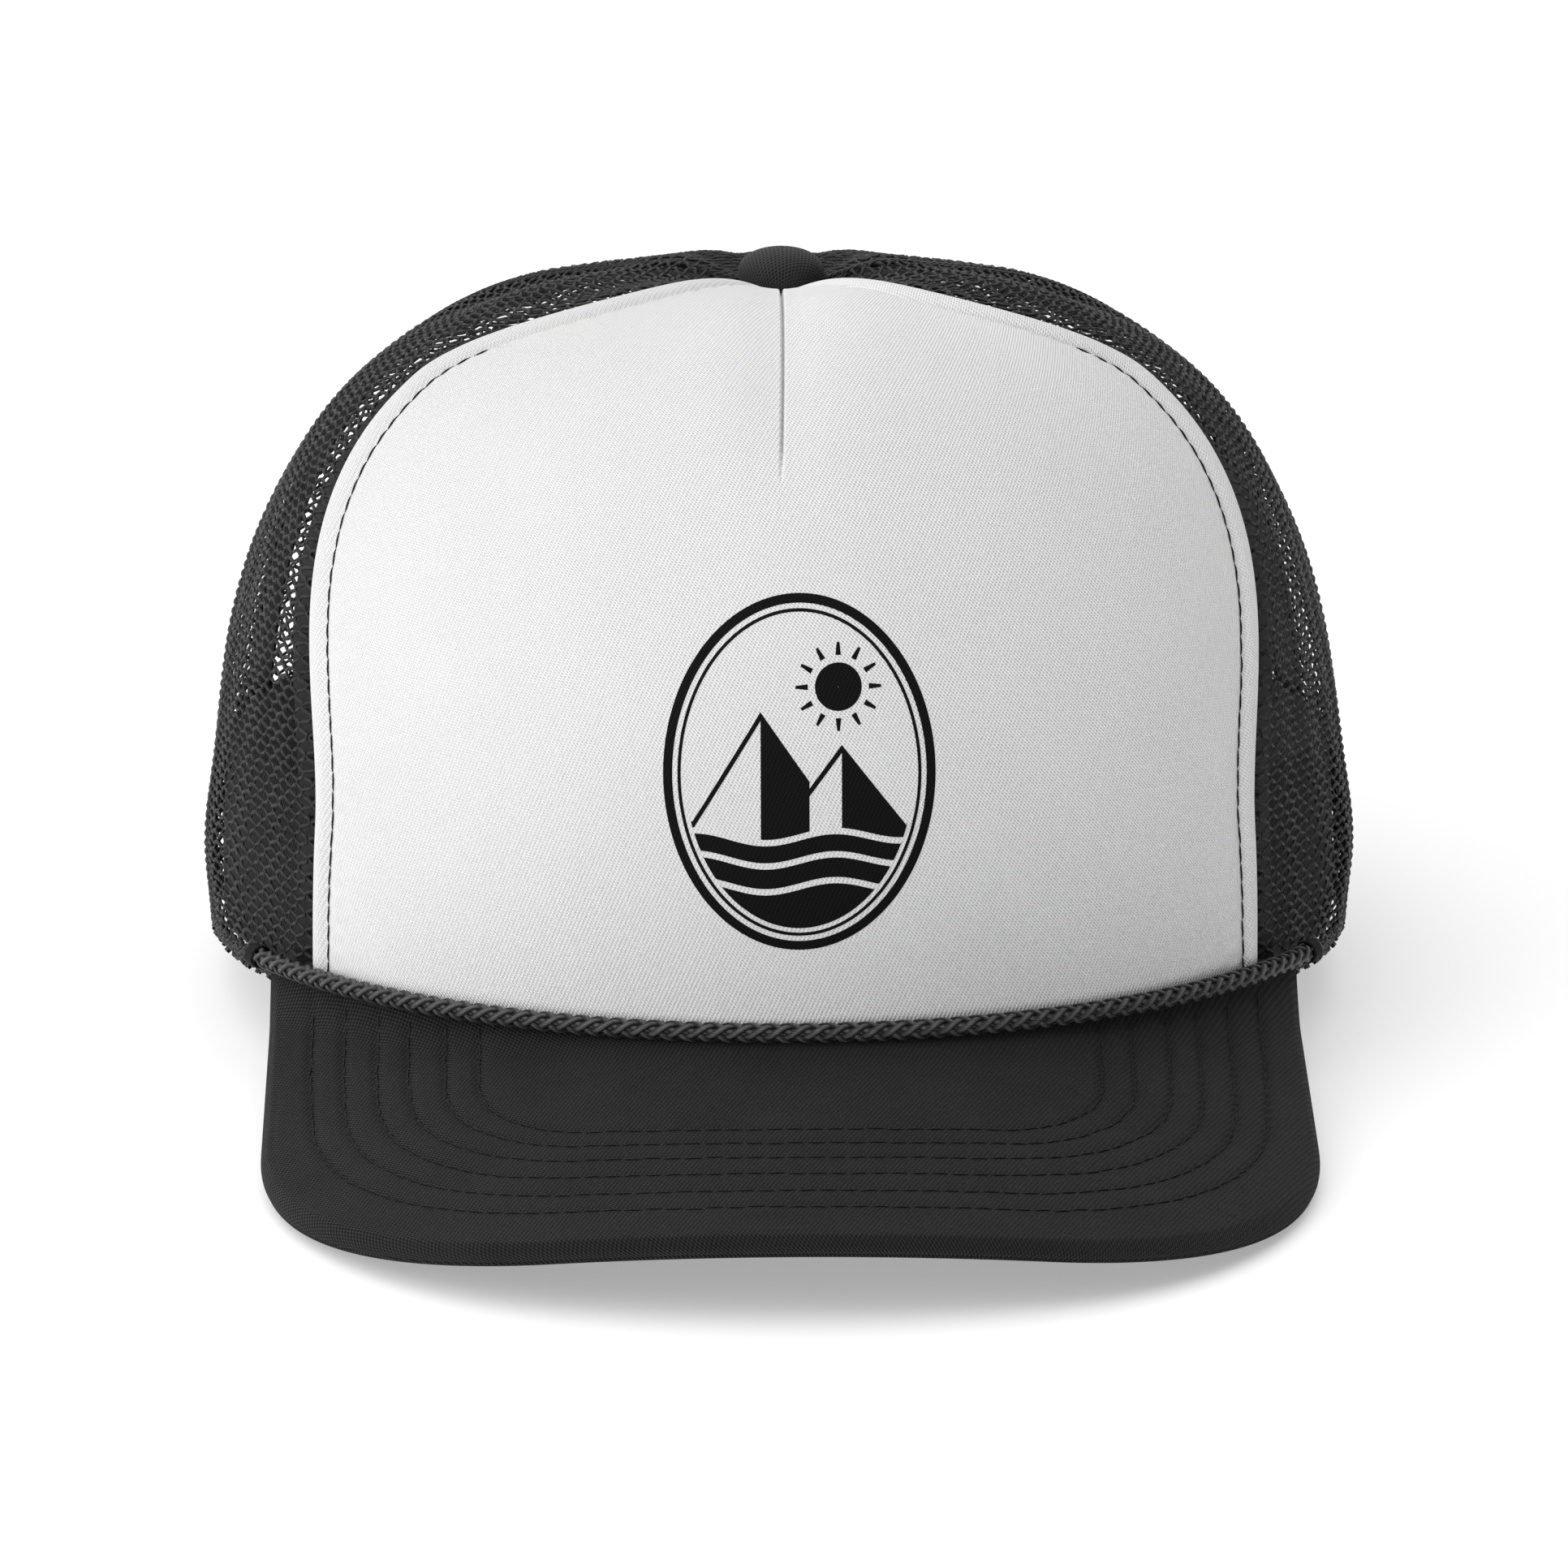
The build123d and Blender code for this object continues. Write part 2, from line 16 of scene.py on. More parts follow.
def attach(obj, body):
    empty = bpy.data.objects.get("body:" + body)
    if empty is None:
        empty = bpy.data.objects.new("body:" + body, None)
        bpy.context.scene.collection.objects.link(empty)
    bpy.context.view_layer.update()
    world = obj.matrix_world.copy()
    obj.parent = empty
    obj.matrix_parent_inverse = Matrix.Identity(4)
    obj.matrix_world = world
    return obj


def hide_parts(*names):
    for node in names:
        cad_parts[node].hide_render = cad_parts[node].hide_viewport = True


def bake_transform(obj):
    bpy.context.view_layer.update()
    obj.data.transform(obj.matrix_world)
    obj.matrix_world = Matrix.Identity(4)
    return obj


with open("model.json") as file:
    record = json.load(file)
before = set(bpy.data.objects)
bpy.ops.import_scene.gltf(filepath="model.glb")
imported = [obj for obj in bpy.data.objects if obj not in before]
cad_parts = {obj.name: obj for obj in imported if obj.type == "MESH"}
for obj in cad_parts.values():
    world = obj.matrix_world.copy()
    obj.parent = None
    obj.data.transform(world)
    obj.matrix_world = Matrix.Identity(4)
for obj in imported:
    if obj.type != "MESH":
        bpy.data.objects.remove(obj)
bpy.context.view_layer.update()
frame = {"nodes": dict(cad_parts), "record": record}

# ---- the crown, as the CAD has it ----
HALF_WIDTH, FRONT_REACH, BACK_REACH, CROWN_HEIGHT = 94.0, 102.0, 98.0, 111.0
SIDE_FULLNESS, FRONT_FULLNESS, BACK_FULLNESS = 2.8, 2.6, 2.25
BUTTON_Y, BUTTON_HEIGHT = -10.0, 107.5
DIMPLE_DEPTH, DIMPLE_REACH = 4.4, 18.0
RING_RADIUS = 6.0
SIDE_SEAM, REAR_SEAM = 108.0, 180.0
ARCH_HALF_WIDTH, ARCH_HEIGHT, BINDING_WIDTH = 46.0, 52.0, 8.0
BAND_END = 141.5
VISOR_SLOPE, VISOR_BEND, VISOR_REACH = 14.0, 220.0, 62.5
VISOR_HALF_WIDTH, VISOR_FRONT_RADIUS, VISOR_CORNER_RADIUS = 82.6, 180.0, 57.0
HALF_VISOR = 2.2
SNAP_PITCH = 9.5
HINGE_X = 2.5 * SNAP_PITCH
STRAP_LOW, STRAP_HEIGHT, STRAP_THICKNESS = 1.0, 18.0, 1.0

MILLIMETRE = 0.001
RIM_DEGREE = 1.7           # millimetres round the rim for a degree of azimuth
STITCH, VISOR_STITCH = 3.0, 3.1
random = np.random.default_rng(11)

# ---- the rim frame ----
rim = next(m for m in frame["record"]["mounts"] if m["name"] == "head_opening")
rim_centre = np.array(rim["pos_m"])
rim_up = -np.array(rim["axis"])
rim_up /= np.linalg.norm(rim_up)
rim_axes = np.array([[1.0, 0.0, 0.0], np.cross(rim_up, [1.0, 0.0, 0.0]), rim_up])


def in_row(points):
    """Millimetres of the rim frame as metres of the row frame."""
    return rim_centre + np.asarray(points) @ rim_axes * MILLIMETRE


def unit(vectors):
    return vectors / np.maximum(np.linalg.norm(vectors, axis=-1, keepdims=True), 1e-12)


def smooth(t):
    t = np.clip(t, 0.0, 1.0)
    return t * t * (3 - 2 * t)


def bell(distance, width):
    return np.exp(-((distance / width) ** 2))


def rounded(value, power):
    """A power that keeps the sign: squares up a sine or cosine."""
    return np.sign(value) * np.abs(value) ** power


def run_along(line):
    """Distance along a line of points, from its first."""
    steps = np.linalg.norm(np.diff(line, axis=0), axis=1)
    return np.concatenate([[0.0], np.cumsum(steps)])


def pair(across, along):
    """Cloth coordinates from two arrays that broadcast together."""
    return np.stack(np.broadcast_arrays(across, along), axis=-1)


def ripples(a, b, seed, size):
    """Smooth irregular waves over two coordinates, about -1 to 1, some size long."""
    draw = np.random.default_rng(seed)
    total = 0.0
    for _ in range(6):
        turn, shift = draw.uniform(0, 2 * math.pi, 2)
        pitch = size * draw.uniform(0.6, 1.6)
        along = a * math.cos(turn) + b * math.sin(turn)
        total = total + np.sin(2 * math.pi * along / pitch + shift)
    return total / 3


# ---- the crown's surface ----
def width_at(level):
    return HALF_WIDTH * (1 - np.clip(level, 0, 1) ** SIDE_FULLNESS) ** (1 / SIDE_FULLNESS)


def crown_outside(azimuth, level):
    turn = np.radians(azimuth)
    ahead = np.cos(turn) > 0
    fullness = np.where(ahead, FRONT_FULLNESS, BACK_FULLNESS)
    reach = np.where(ahead, FRONT_REACH, BACK_REACH)
    turn, level = np.broadcast_arrays(turn, np.clip(level, 0, 1))
    length = reach * (1 - level**fullness) ** (1 / fullness)
    x = width_at(level) * np.sin(turn)
    y = BUTTON_Y * level**3 - length * np.cos(turn)
    dimple = DIMPLE_DEPTH * bell(np.hypot(x, y - BUTTON_Y), DIMPLE_REACH)
    return np.stack([x, y, CROWN_HEIGHT * level - dimple], axis=-1)


def crown_normal(azimuth, level):
    step = 1e-5
    level = np.clip(level, 2 * step, 1 - 2 * step)
    around = crown_outside(azimuth + 0.1, level) - crown_outside(azimuth - 0.1, level)
    up = crown_outside(azimuth, level + step) - crown_outside(azimuth, level - step)
    return unit(np.cross(around, up))


def crown(azimuth, level, lift=0.0):
    """Points of the crown's outside, lifted along its normal."""
    azimuth, level, lift = np.broadcast_arrays(azimuth, level, lift)
    base = np.maximum(level, 0)
    point = crown_outside(azimuth, base) + crown_normal(azimuth, base) * lift[..., None]
    point[..., 2] += CROWN_HEIGHT * np.minimum(level, 0)
    return point


def per_degree(azimuth, level):
    """Millimetres round the crown for a degree of azimuth."""
    step = crown_outside(azimuth + 0.5, level) - crown_outside(azimuth - 0.5, level)
    return np.maximum(np.linalg.norm(step, axis=-1), 1e-6)


profile_level = np.sin(np.linspace(0, math.pi / 2, 4001))
profile_line = np.stack([width_at(profile_level), CROWN_HEIGHT * profile_level], axis=-1)
profile_travel = run_along(profile_line)


def travel_at(level):
    """Distance up the crown's side to a level."""
    return np.interp(level, profile_level, profile_travel)


def level_at(travel):
    return np.interp(travel, profile_travel, profile_level)


TOP_TRAVEL = float(np.interp(-RING_RADIUS, -profile_line[:, 0], profile_travel))


def front_seam(level):
    """Azimuth of the seam between the front panel and the right side mesh."""
    swing = 14.0 * smooth((level - 0.25) / 0.62)
    back = np.maximum(level - 0.86, 0.0) / 0.14
    return 54.0 + swing - 28.0 * back**2


def side_seam(level):
    return SIDE_SEAM + 0 * level


def rear_seam(level):
    return REAR_SEAM + 0 * level


# ---- meshes ----
class Shape:
    """Points in millimetres in the rim frame, quads, and a cloth coordinate for each point."""

    def __init__(self):
        self.points, self.quads, self.cloth, self.count = [], [], [], 0

    def add(self, points, quads, cloth):
        self.points.append(points.reshape(-1, 3))
        self.quads.append(quads + self.count)
        self.cloth.append(cloth.reshape(-1, 2))
        self.count += len(self.points[-1])

    def grid(self, points, cloth=None, ring=False):
        """A sheet of rows by columns, closed across its columns if it is a ring."""
        rows, columns = points.shape[:2]
        if cloth is None:
            cloth = np.zeros((rows, columns, 2))
        index = np.arange(rows * columns).reshape(rows, columns)
        if ring:
            index = np.concatenate([index, index[:, :1]], axis=1)
        quads = np.stack(
            [index[:-1, :-1], index[:-1, 1:], index[1:, 1:], index[1:, :-1]], axis=-1
        ).reshape(-1, 4)
        self.add(points, quads, cloth)

    def tubes(self, centre, normal, half_wide, half_tall, sides=6):
        """Tubes along many lines at once: centre and normal are lines by steps by 3."""
        ahead = unit(np.gradient(centre, axis=1))
        side = unit(np.cross(ahead, normal))
        up = np.cross(side, ahead)
        lines, steps = centre.shape[:2]
        half_wide = np.broadcast_to(half_wide, (lines, steps))[..., None, None]
        half_tall = np.broadcast_to(half_tall, (lines, steps))[..., None, None]
        turn = (2 * math.pi * np.arange(sides) / sides)[:, None]
        ring = (
            centre[:, :, None]
            + side[:, :, None] * np.cos(turn) * half_wide
            + up[:, :, None] * np.sin(turn) * half_tall
        )
        index = np.arange(lines * steps * sides).reshape(lines, steps, sides)
        beside = np.roll(index, -1, axis=2)
        quads = np.stack(
            [index[:, :-1], index[:, 1:], beside[:, 1:], beside[:, :-1]], axis=-1
        ).reshape(-1, 4)
        run = np.linalg.norm(np.diff(centre, axis=1), axis=-1).cumsum(axis=1)
        run = np.concatenate([np.zeros((lines, 1)), run], axis=1)
        cloth = np.zeros((lines, steps, sides, 2))
        cloth[..., 0] = run[:, :, None]
        cloth[..., 1] = np.arange(sides) / sides + 7.0 * np.arange(lines)[:, None, None]
        self.add(ring, quads, cloth)

    def build(self, name, material, replaces=(), slot=None):
        points = in_row(np.concatenate(self.points))
        quads = np.concatenate(self.quads)
        cloth = np.concatenate(self.cloth)
        mesh = bpy.data.meshes.new(name)
        mesh.from_pydata(points.tolist(), [], quads.tolist())
        layer = mesh.uv_layers.new(name="Cloth")
        loops = np.zeros(len(mesh.loops), np.int32)
        mesh.loops.foreach_get("vertex_index", loops)
        layer.data.foreach_set("uv", cloth[loops].astype(np.float32).ravel())
        mesh.shade_smooth()
        mesh.materials.append(material)
        piece = bpy.data.objects.new(name, mesh)
        bpy.context.collection.objects.link(piece)
        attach(piece, "cap")
        if replaces:
            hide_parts(*replaces)
        return piece


def resample(line, step=None, count=None, *others):
    """Even points along a line, with other per-point values carried over."""
    run = run_along(line)
    count = count or max(2, int(round(run[-1] / step)) + 1)
    at = np.linspace(0, run[-1], count)
    return [
        np.stack([np.interp(at, run, values[:, i]) for i in range(values.shape[1])], axis=-1)
        for values in (line, *others)
    ]


def stitches(shape, line, normal, pitch=STITCH, gap=0.35, thick=0.17, sink=0.22, wobble=0.12):
    """A row of separate thread stitches along a line that lies on a surface."""
    fine, up = resample(line, 0.1, None, normal)
    run = run_along(fine)
    count = max(1, int(run[-1] / pitch))
    start = np.arange(count) * run[-1] / count
    t = np.linspace(0, 1, 8)
    length = run[-1] / count - gap
    at = start[:, None] + gap / 2 + t * length
    centre = np.stack([np.interp(at, run, fine[:, i]) for i in range(3)], axis=-1)
    normals = unit(np.stack([np.interp(at, run, up[:, i]) for i in range(3)], axis=-1))
    side = unit(np.cross(np.gradient(centre, axis=1), normals))
    sway = random.normal(0, wobble, (count, 1)) + np.outer(random.normal(0, wobble, count), t - 0.5)
    arch = np.sin(math.pi * t) ** 0.6
    centre = centre + side * sway[..., None]
    centre = centre + normals * ((arch - 1) * sink)[:, None] + normals * 0.05
    size = thick * (0.45 + 0.55 * arch)
    shape.tubes(centre, normals, size, size * 0.85, sides=6)


# ---- materials ----
class Looks:
    """A material's nodes, built up by short calls."""

    def __init__(self, name, colour, roughness, **settings):
        self.material = bpy.data.materials.new(name)
        self.material.use_nodes = True
        self.tree = self.material.node_tree
        self.shader = self.tree.nodes["Principled BSDF"]
        self.shader.inputs["Base Color"].default_value = (*colour, 1)
        self.shader.inputs["Roughness"].default_value = roughness
        for key, value in settings.items():
            self.shader.inputs[key.replace("_", " ")].default_value = value

    def link(self, value, socket):
        if isinstance(value, (int, float)):
            socket.default_value = value
        elif isinstance(value, tuple):
            socket.default_value = (*value, 1)
        else:
            self.tree.links.new(value, socket)

    def node(self, kind, **settings):
        made = self.tree.nodes.new(kind)
        for key, value in settings.items():
            setattr(made, key, value)
        return made

    def math(self, operation, *values):
        made = self.node("ShaderNodeMath", operation=operation)
        for value, socket in zip(values, made.inputs):
            self.link(value, socket)
        return made.outputs[0]

    def blend(self, one, share, other, rest):
        """The sum of two values, each by its share."""
        return self.math("MULTIPLY_ADD", one, share, self.math("MULTIPLY", other, rest))

    def cloth(self):
        """Cloth coordinates, in millimetres."""
        uv = self.node("ShaderNodeUVMap", uv_map="Cloth")
        split = self.node("ShaderNodeSeparateXYZ")
        self.link(uv.outputs[0], split.inputs[0])
        return split.outputs[0], split.outputs[1]

    def noise(self, size, detail=3.0, roughness=0.6):
        """Noise over the object, with features about this many millimetres long."""
        place = self.node("ShaderNodeTexCoord")
        made = self.node("ShaderNodeTexNoise")
        self.link(place.outputs["Object"], made.inputs["Vector"])
        self.link(1000.0 / size, made.inputs["Scale"])
        self.link(detail, made.inputs["Detail"])
        self.link(roughness, made.inputs["Roughness"])
        return made.outputs["Fac"]

    def wave(self, value, pitch):
        """0 to 1 sine wave of a value."""
        turned = self.math("MULTIPLY", value, 2 * math.pi / pitch)
        return self.math("MULTIPLY_ADD", self.math("SINE", turned), 0.5, 0.5)

    def ramp(self, value, low, high, colour0, colour1):
        """A colour that goes from one to the other as the value goes from low to high."""
        share = self.node("ShaderNodeMapRange", interpolation_type="SMOOTHSTEP")
        self.link(value, share.inputs["Value"])
        self.link(low, share.inputs["From Min"])
        self.link(high, share.inputs["From Max"])
        mix = self.node("ShaderNodeMix", data_type="RGBA")
        self.link(share.outputs[0], mix.inputs["Factor"])
        self.link(colour0, mix.inputs[6])
        self.link(colour1, mix.inputs[7])
        return mix.outputs[2]

    def colour(self, value):
        self.link(value, self.shader.inputs["Base Color"])

    def roughen(self, value, low, high):
        share = self.node("ShaderNodeMapRange")
        self.link(value, share.inputs["Value"])
        self.link(low, share.inputs["To Min"])
        self.link(high, share.inputs["To Max"])
        self.link(share.outputs[0], self.shader.inputs["Roughness"])

    def bump(self, value, depth):
        """Bump this many millimetres deep, over any bump that is already there."""
        made = self.node("ShaderNodeBump")
        self.link(value, made.inputs["Height"])
        self.link(depth * MILLIMETRE, made.inputs["Distance"])
        self.link(1.0, made.inputs["Strength"])
        before = self.shader.inputs["Normal"].links
        if before:
            self.tree.links.new(before[0].from_socket, made.inputs["Normal"])
        self.tree.links.new(made.outputs[0], self.shader.inputs["Normal"])


def knit(looks, pitch):
    """Fine diagonal knit: 0 in the pinholes, 1 on the loops."""
    across, along = looks.cloth()
    lean_one = looks.math("MULTIPLY_ADD", along, 1.0, across)
    lean_two = looks.math("MULTIPLY_ADD", along, -0.45, across)
    rows = looks.wave(lean_one, pitch)
    loops = looks.wave(lean_two, pitch * 1.15)
    return looks.blend(rows, 0.6, loops, 0.4)


KNIT_PITCH = 0.58


def front_knit_looks():
    looks = Looks("front_knit", (0.8, 0.8, 0.8), 0.8, Sheen_Weight=0.25, Sheen_Roughness=0.6)
    weave = knit(looks, KNIT_PITCH)
    tone = looks.noise(28.0, 2.0)
    looks.colour(
        looks.ramp(
            looks.blend(tone, 0.25, weave, 0.75),
            0.05, 0.6, (0.7, 0.7, 0.702), (0.92, 0.92, 0.918),
        )
    )
    looks.bump(weave, 0.22)
    looks.bump(looks.noise(0.9, 4.0), 0.06)
    return looks.material


def thread_looks(name, light):
    looks = Looks(name, (0.012, 0.012, 0.012), 0.7, Specular_IOR_Level=0.15)
    across, along = looks.cloth()
    twist = looks.wave(looks.math("MULTIPLY_ADD", along, 1.4, across), 0.5)
    looks.colour(looks.ramp(twist, 0, 1, (0.004, 0.004, 0.004), (light, light, light)))
    looks.bump(twist, 0.03)
    return looks.material


def print_looks():
    looks = Looks("print_ink", (0.004, 0.004, 0.004), 0.8, Specular_IOR_Level=0.12)
    weave = knit(looks, KNIT_PITCH)
    looks.colour(looks.ramp(weave, 0.0, 0.5, (0.01, 0.01, 0.01), (0.003, 0.003, 0.003)))
    looks.bump(weave, 0.09)
    return looks.material


def mesh_looks():
    looks = Looks(
        "mesh", (0.03, 0.03, 0.03), 0.5, Sheen_Weight=0.06, Sheen_Roughness=0.4,
        Specular_IOR_Level=0.3,
    )
    fibre = looks.noise(0.5, 5.0, 0.7)
    patch = looks.noise(9.0, 2.0)
    looks.colour(
        looks.ramp(
            looks.blend(patch, 0.35, fibre, 0.65),
            0.36, 0.64, (0.007, 0.007, 0.0075), (0.036, 0.036, 0.037),
        )
    )
    looks.roughen(fibre, 0.4, 0.68)
    looks.bump(fibre, 0.1)
    return looks.material


def dark_cloth_looks(name, dark, light, pitch, depth, sheen=0.12):
    """Black cloth with a fine diagonal weave, a little lighter on its threads."""
    looks = Looks(
        name, dark, 0.82, Sheen_Weight=sheen, Sheen_Roughness=0.45, Specular_IOR_Level=0.2
    )
    weave = knit(looks, pitch)
    tone = looks.noise(14.0, 3.0)
    looks.colour(
        looks.ramp(
            looks.blend(tone, 0.4, weave, 0.6),
            0.25, 0.8, dark, light,
        )
    )
    looks.roughen(weave, 0.95, 0.72)
    looks.bump(weave, depth)
    looks.bump(looks.noise(0.7, 4.0), 0.03)
    return looks.material


def rope_looks():
    looks = Looks("rope", (0.03, 0.03, 0.03), 0.45, Sheen_Weight=0.02, Specular_IOR_Level=0.3)
    across, along = looks.cloth()
    fibres = looks.wave(looks.math("MULTIPLY_ADD", along, 3.0, across), 0.34)
    # painted highlight: a thin lighter streak along the outward crest of every strand and of the
    # core, added to the tone before the colour ramp
    crest_highlight = looks.math("POWER", looks.wave(along, 1.0), 7.0)
    tone = looks.blend(looks.noise(1.3, 3.0), 0.5, fibres, 0.3)
    looks.colour(
        looks.ramp(
            looks.math("MULTIPLY_ADD", crest_highlight, 0.45, tone),
            0.45, 1.0, (0.01, 0.01, 0.0105), (0.12, 0.12, 0.123),
        )
    )
    looks.bump(fibres, 0.05)
    return looks.material


def button_looks():
    looks = Looks(
        "button_fabric", (0.04, 0.04, 0.04), 0.7, Sheen_Weight=0.04, Specular_IOR_Level=0.2
    )
    across, along = looks.cloth()
    holes = looks.math(
        "MULTIPLY", looks.wave(across, 0.62),
        looks.wave(looks.math("MULTIPLY_ADD", across, 0.5, along), 0.62),
    )
    looks.colour(looks.ramp(holes, 0.1, 0.75, (0.032, 0.032, 0.033), (0.007, 0.007, 0.007)))
    looks.bump(looks.math("SUBTRACT", 1.0, holes), 0.2)
    return looks.material


def foam_looks():
    looks = Looks("front_foam", (0.72, 0.72, 0.71), 0.95)
    place = looks.node("ShaderNodeTexCoord")
    cells = looks.node("ShaderNodeTexVoronoi", feature="SMOOTH_F1")
    looks.link(place.outputs["Object"], cells.inputs["Vector"])
    looks.link(1500.0, cells.inputs["Scale"])
    looks.colour(
        looks.ramp(cells.outputs["Distance"], 0.1, 0.7, (0.5, 0.5, 0.49), (0.8, 0.8, 0.79))
    )
    looks.bump(cells.outputs["Distance"], 0.25)
    looks.bump(looks.noise(6.0, 3.0), 0.3)
    return looks.material


def strap_looks():
    looks = Looks("strap_plastic", (0.018, 0.018, 0.019), 0.36, Specular_IOR_Level=0.5)
    grain = looks.noise(0.5, 4.0)
    haze = looks.noise(7.0, 3.0)
    looks.colour(looks.ramp(haze, 0.35, 0.7, (0.014, 0.014, 0.015), (0.028, 0.028, 0.029)))
    looks.roughen(haze, 0.28, 0.5)
    looks.bump(grain, 0.02)
    return looks.material


def metal_looks():
    looks = Looks("button_metal", (0.62, 0.62, 0.6), 0.3, Metallic=1.0)
    scuffs = looks.noise(1.2, 5.0)
    looks.colour(looks.ramp(scuffs, 0.35, 0.65, (0.5, 0.49, 0.47), (0.72, 0.71, 0.69)))
    looks.roughen(scuffs, 0.22, 0.5)
    looks.bump(scuffs, 0.02)
    return looks.material


def board_looks():
    looks = Looks("visor_board", (0.3, 0.28, 0.25), 0.7)
    flecks = looks.noise(1.5, 5.0)
    looks.colour(looks.ramp(flecks, 0.3, 0.7, (0.24, 0.22, 0.19), (0.42, 0.4, 0.36)))
    looks.bump(flecks, 0.05)
    return looks.material


FRONT_KNIT = front_knit_looks()
BLACK_THREAD = thread_looks("black_thread", 0.015)
VISOR_THREAD = thread_looks("visor_thread", 0.03)
PRINT_INK = print_looks()
MESH = mesh_looks()
VISOR_CLOTH = dark_cloth_looks(
    "visor_fabric", (0.005, 0.005, 0.0052), (0.025, 0.025, 0.0255), 0.62, 0.5, sheen=0.04
)
BAND_CLOTH = dark_cloth_looks("sweatband", (0.006, 0.006, 0.006), (0.02, 0.02, 0.0205), 0.8, 0.16)
TAPE_CLOTH = dark_cloth_looks("seam_tape", (0.014, 0.014, 0.015), (0.05, 0.05, 0.052), 0.9, 0.14)
BINDING_CLOTH = dark_cloth_looks("binding", (0.014, 0.014, 0.015), (0.045, 0.045, 0.046), 0.8, 0.14)
ROPE = rope_looks()
BUTTON_CLOTH = button_looks()
FOAM = foam_looks()
STRAP = strap_looks()
METAL = metal_looks()
BOARD = board_looks()

# ---- front panel ----
TOPSTITCH_LOW, TOPSTITCH_HIGH = 5.6, 7.2   # from the panel's edge, at the rim and high up
DART_LOW, DART_WIDTH = 86.0, 0.22
TOPSTITCH_TOP = 0.91       # level; further up the thread is buried in the cloth
PANEL_LOW = 3.2            # the knit starts this far above the rim, under the visor's seam


def topstitch_inset(level):
    return TOPSTITCH_LOW + (TOPSTITCH_HIGH - TOPSTITCH_LOW) * smooth(level / 0.8)


def dart_line(height):
    """The dart leans a little to the left on its way down."""
    return -1.1 * np.clip((CROWN_HEIGHT - height) / (CROWN_HEIGHT - DART_LOW), 0, 1)


def button_dip(azimuth, level):
    """How far the front cloth and foam are drawn in round the button."""
    point = crown_outside(azimuth, level)
    return 1.5 * bell(np.hypot(point[..., 0], point[..., 1] - BUTTON_Y), 9.0)


def front_lift(azimuth, level):
    """How far the front panel stands out of the CAD's crown: rolled edge, puff and dart."""
    to_edge = (front_seam(level) - np.abs(azimuth)) * per_degree(azimuth, level)
    travel = travel_at(level)
    side = crown_outside(azimuth, level)[..., 0]
    height = CROWN_HEIGHT * level
    lift = 0.55 - 1.5 * (1 - smooth(to_edge / 2.6))
    lift = lift + 0.55 * bell(to_edge - 3.6, 2.2)
    tuck = bell(to_edge - topstitch_inset(level), 1.0)
    beat = 2 * math.pi * travel / STITCH
    lift = lift - tuck * (0.75 + 0.05 * np.cos(beat))
    lift = lift + 0.12 * bell(to_edge - 8.6, 1.6) * np.cos(beat + 0.6)
    off_dart = side - dart_line(height)
    in_dart = smooth((height - DART_LOW) / 7.0)
    lift = lift - in_dart * 1.5 * bell(off_dart, DART_WIDTH)
    pinch = smooth((height - DART_LOW + 8.0) / 25.0)
    lift = lift - pinch * 0.5 * bell(off_dart, 5.0) + pinch * 0.35 * bell(np.abs(side) - 11.0, 9.0)
    lift = lift + 0.25 * ripples(side, travel, 3, 46.0) * smooth((to_edge - 8) / 12)
    lift = lift - 0.7 * bell(height + 1.0, 3.0) - button_dip(azimuth, level)
    return lift


def front_panel():
    spread = np.linspace(-1, 1, 421)
    columns = np.sign(spread) * np.abs(spread) ** 1.35
    level = level_at(np.linspace(PANEL_LOW, TOP_TRAVEL, 231))[:, None]
    azimuth = columns * (front_seam(level) - 0.08)
    lean = np.degrees(np.arcsin(dart_line(CROWN_HEIGHT * level) / width_at(level)))
    azimuth = azimuth + lean * (1 - np.abs(columns)) ** 2
    points = crown(azimuth, level, front_lift(azimuth, level))
    middle = per_degree(0 * level, level)
    cloth = pair(azimuth * middle, travel_at(level))
    shape = Shape()
    shape.grid(points, cloth)
    shape.build("front_panel", FRONT_KNIT, replaces=("front_fabric",), slot="front_knit")

    thread = Shape()
    level = level_at(np.linspace(PANEL_LOW + 0.5, travel_at(TOPSTITCH_TOP), 400))
    for side in (-1, 1):
        inset = topstitch_inset(level) / per_degree(front_seam(level), level)
        azimuth = side * (front_seam(level) - inset)
        lift = front_lift(azimuth, level)
        line = crown(azimuth, level, lift + 0.14)
        stitches(
            thread, line, crown_normal(azimuth, level), thick=0.16, gap=0.08, sink=0.1, wobble=0.04
        )
    thread.build("front_topstitch", BLACK_THREAD)


front_panel()

# ---- print on the front panel: a plain badge with a sun, two hills and water ----
BADGE_HEIGHT = 44.0        # its middle over the rim
BADGE_SIDE = 1.4           # and to the right of the panel's middle
BADGE = (21.0, 27.0)       # half-width and half-height
PRINT_LIFT = 0.05


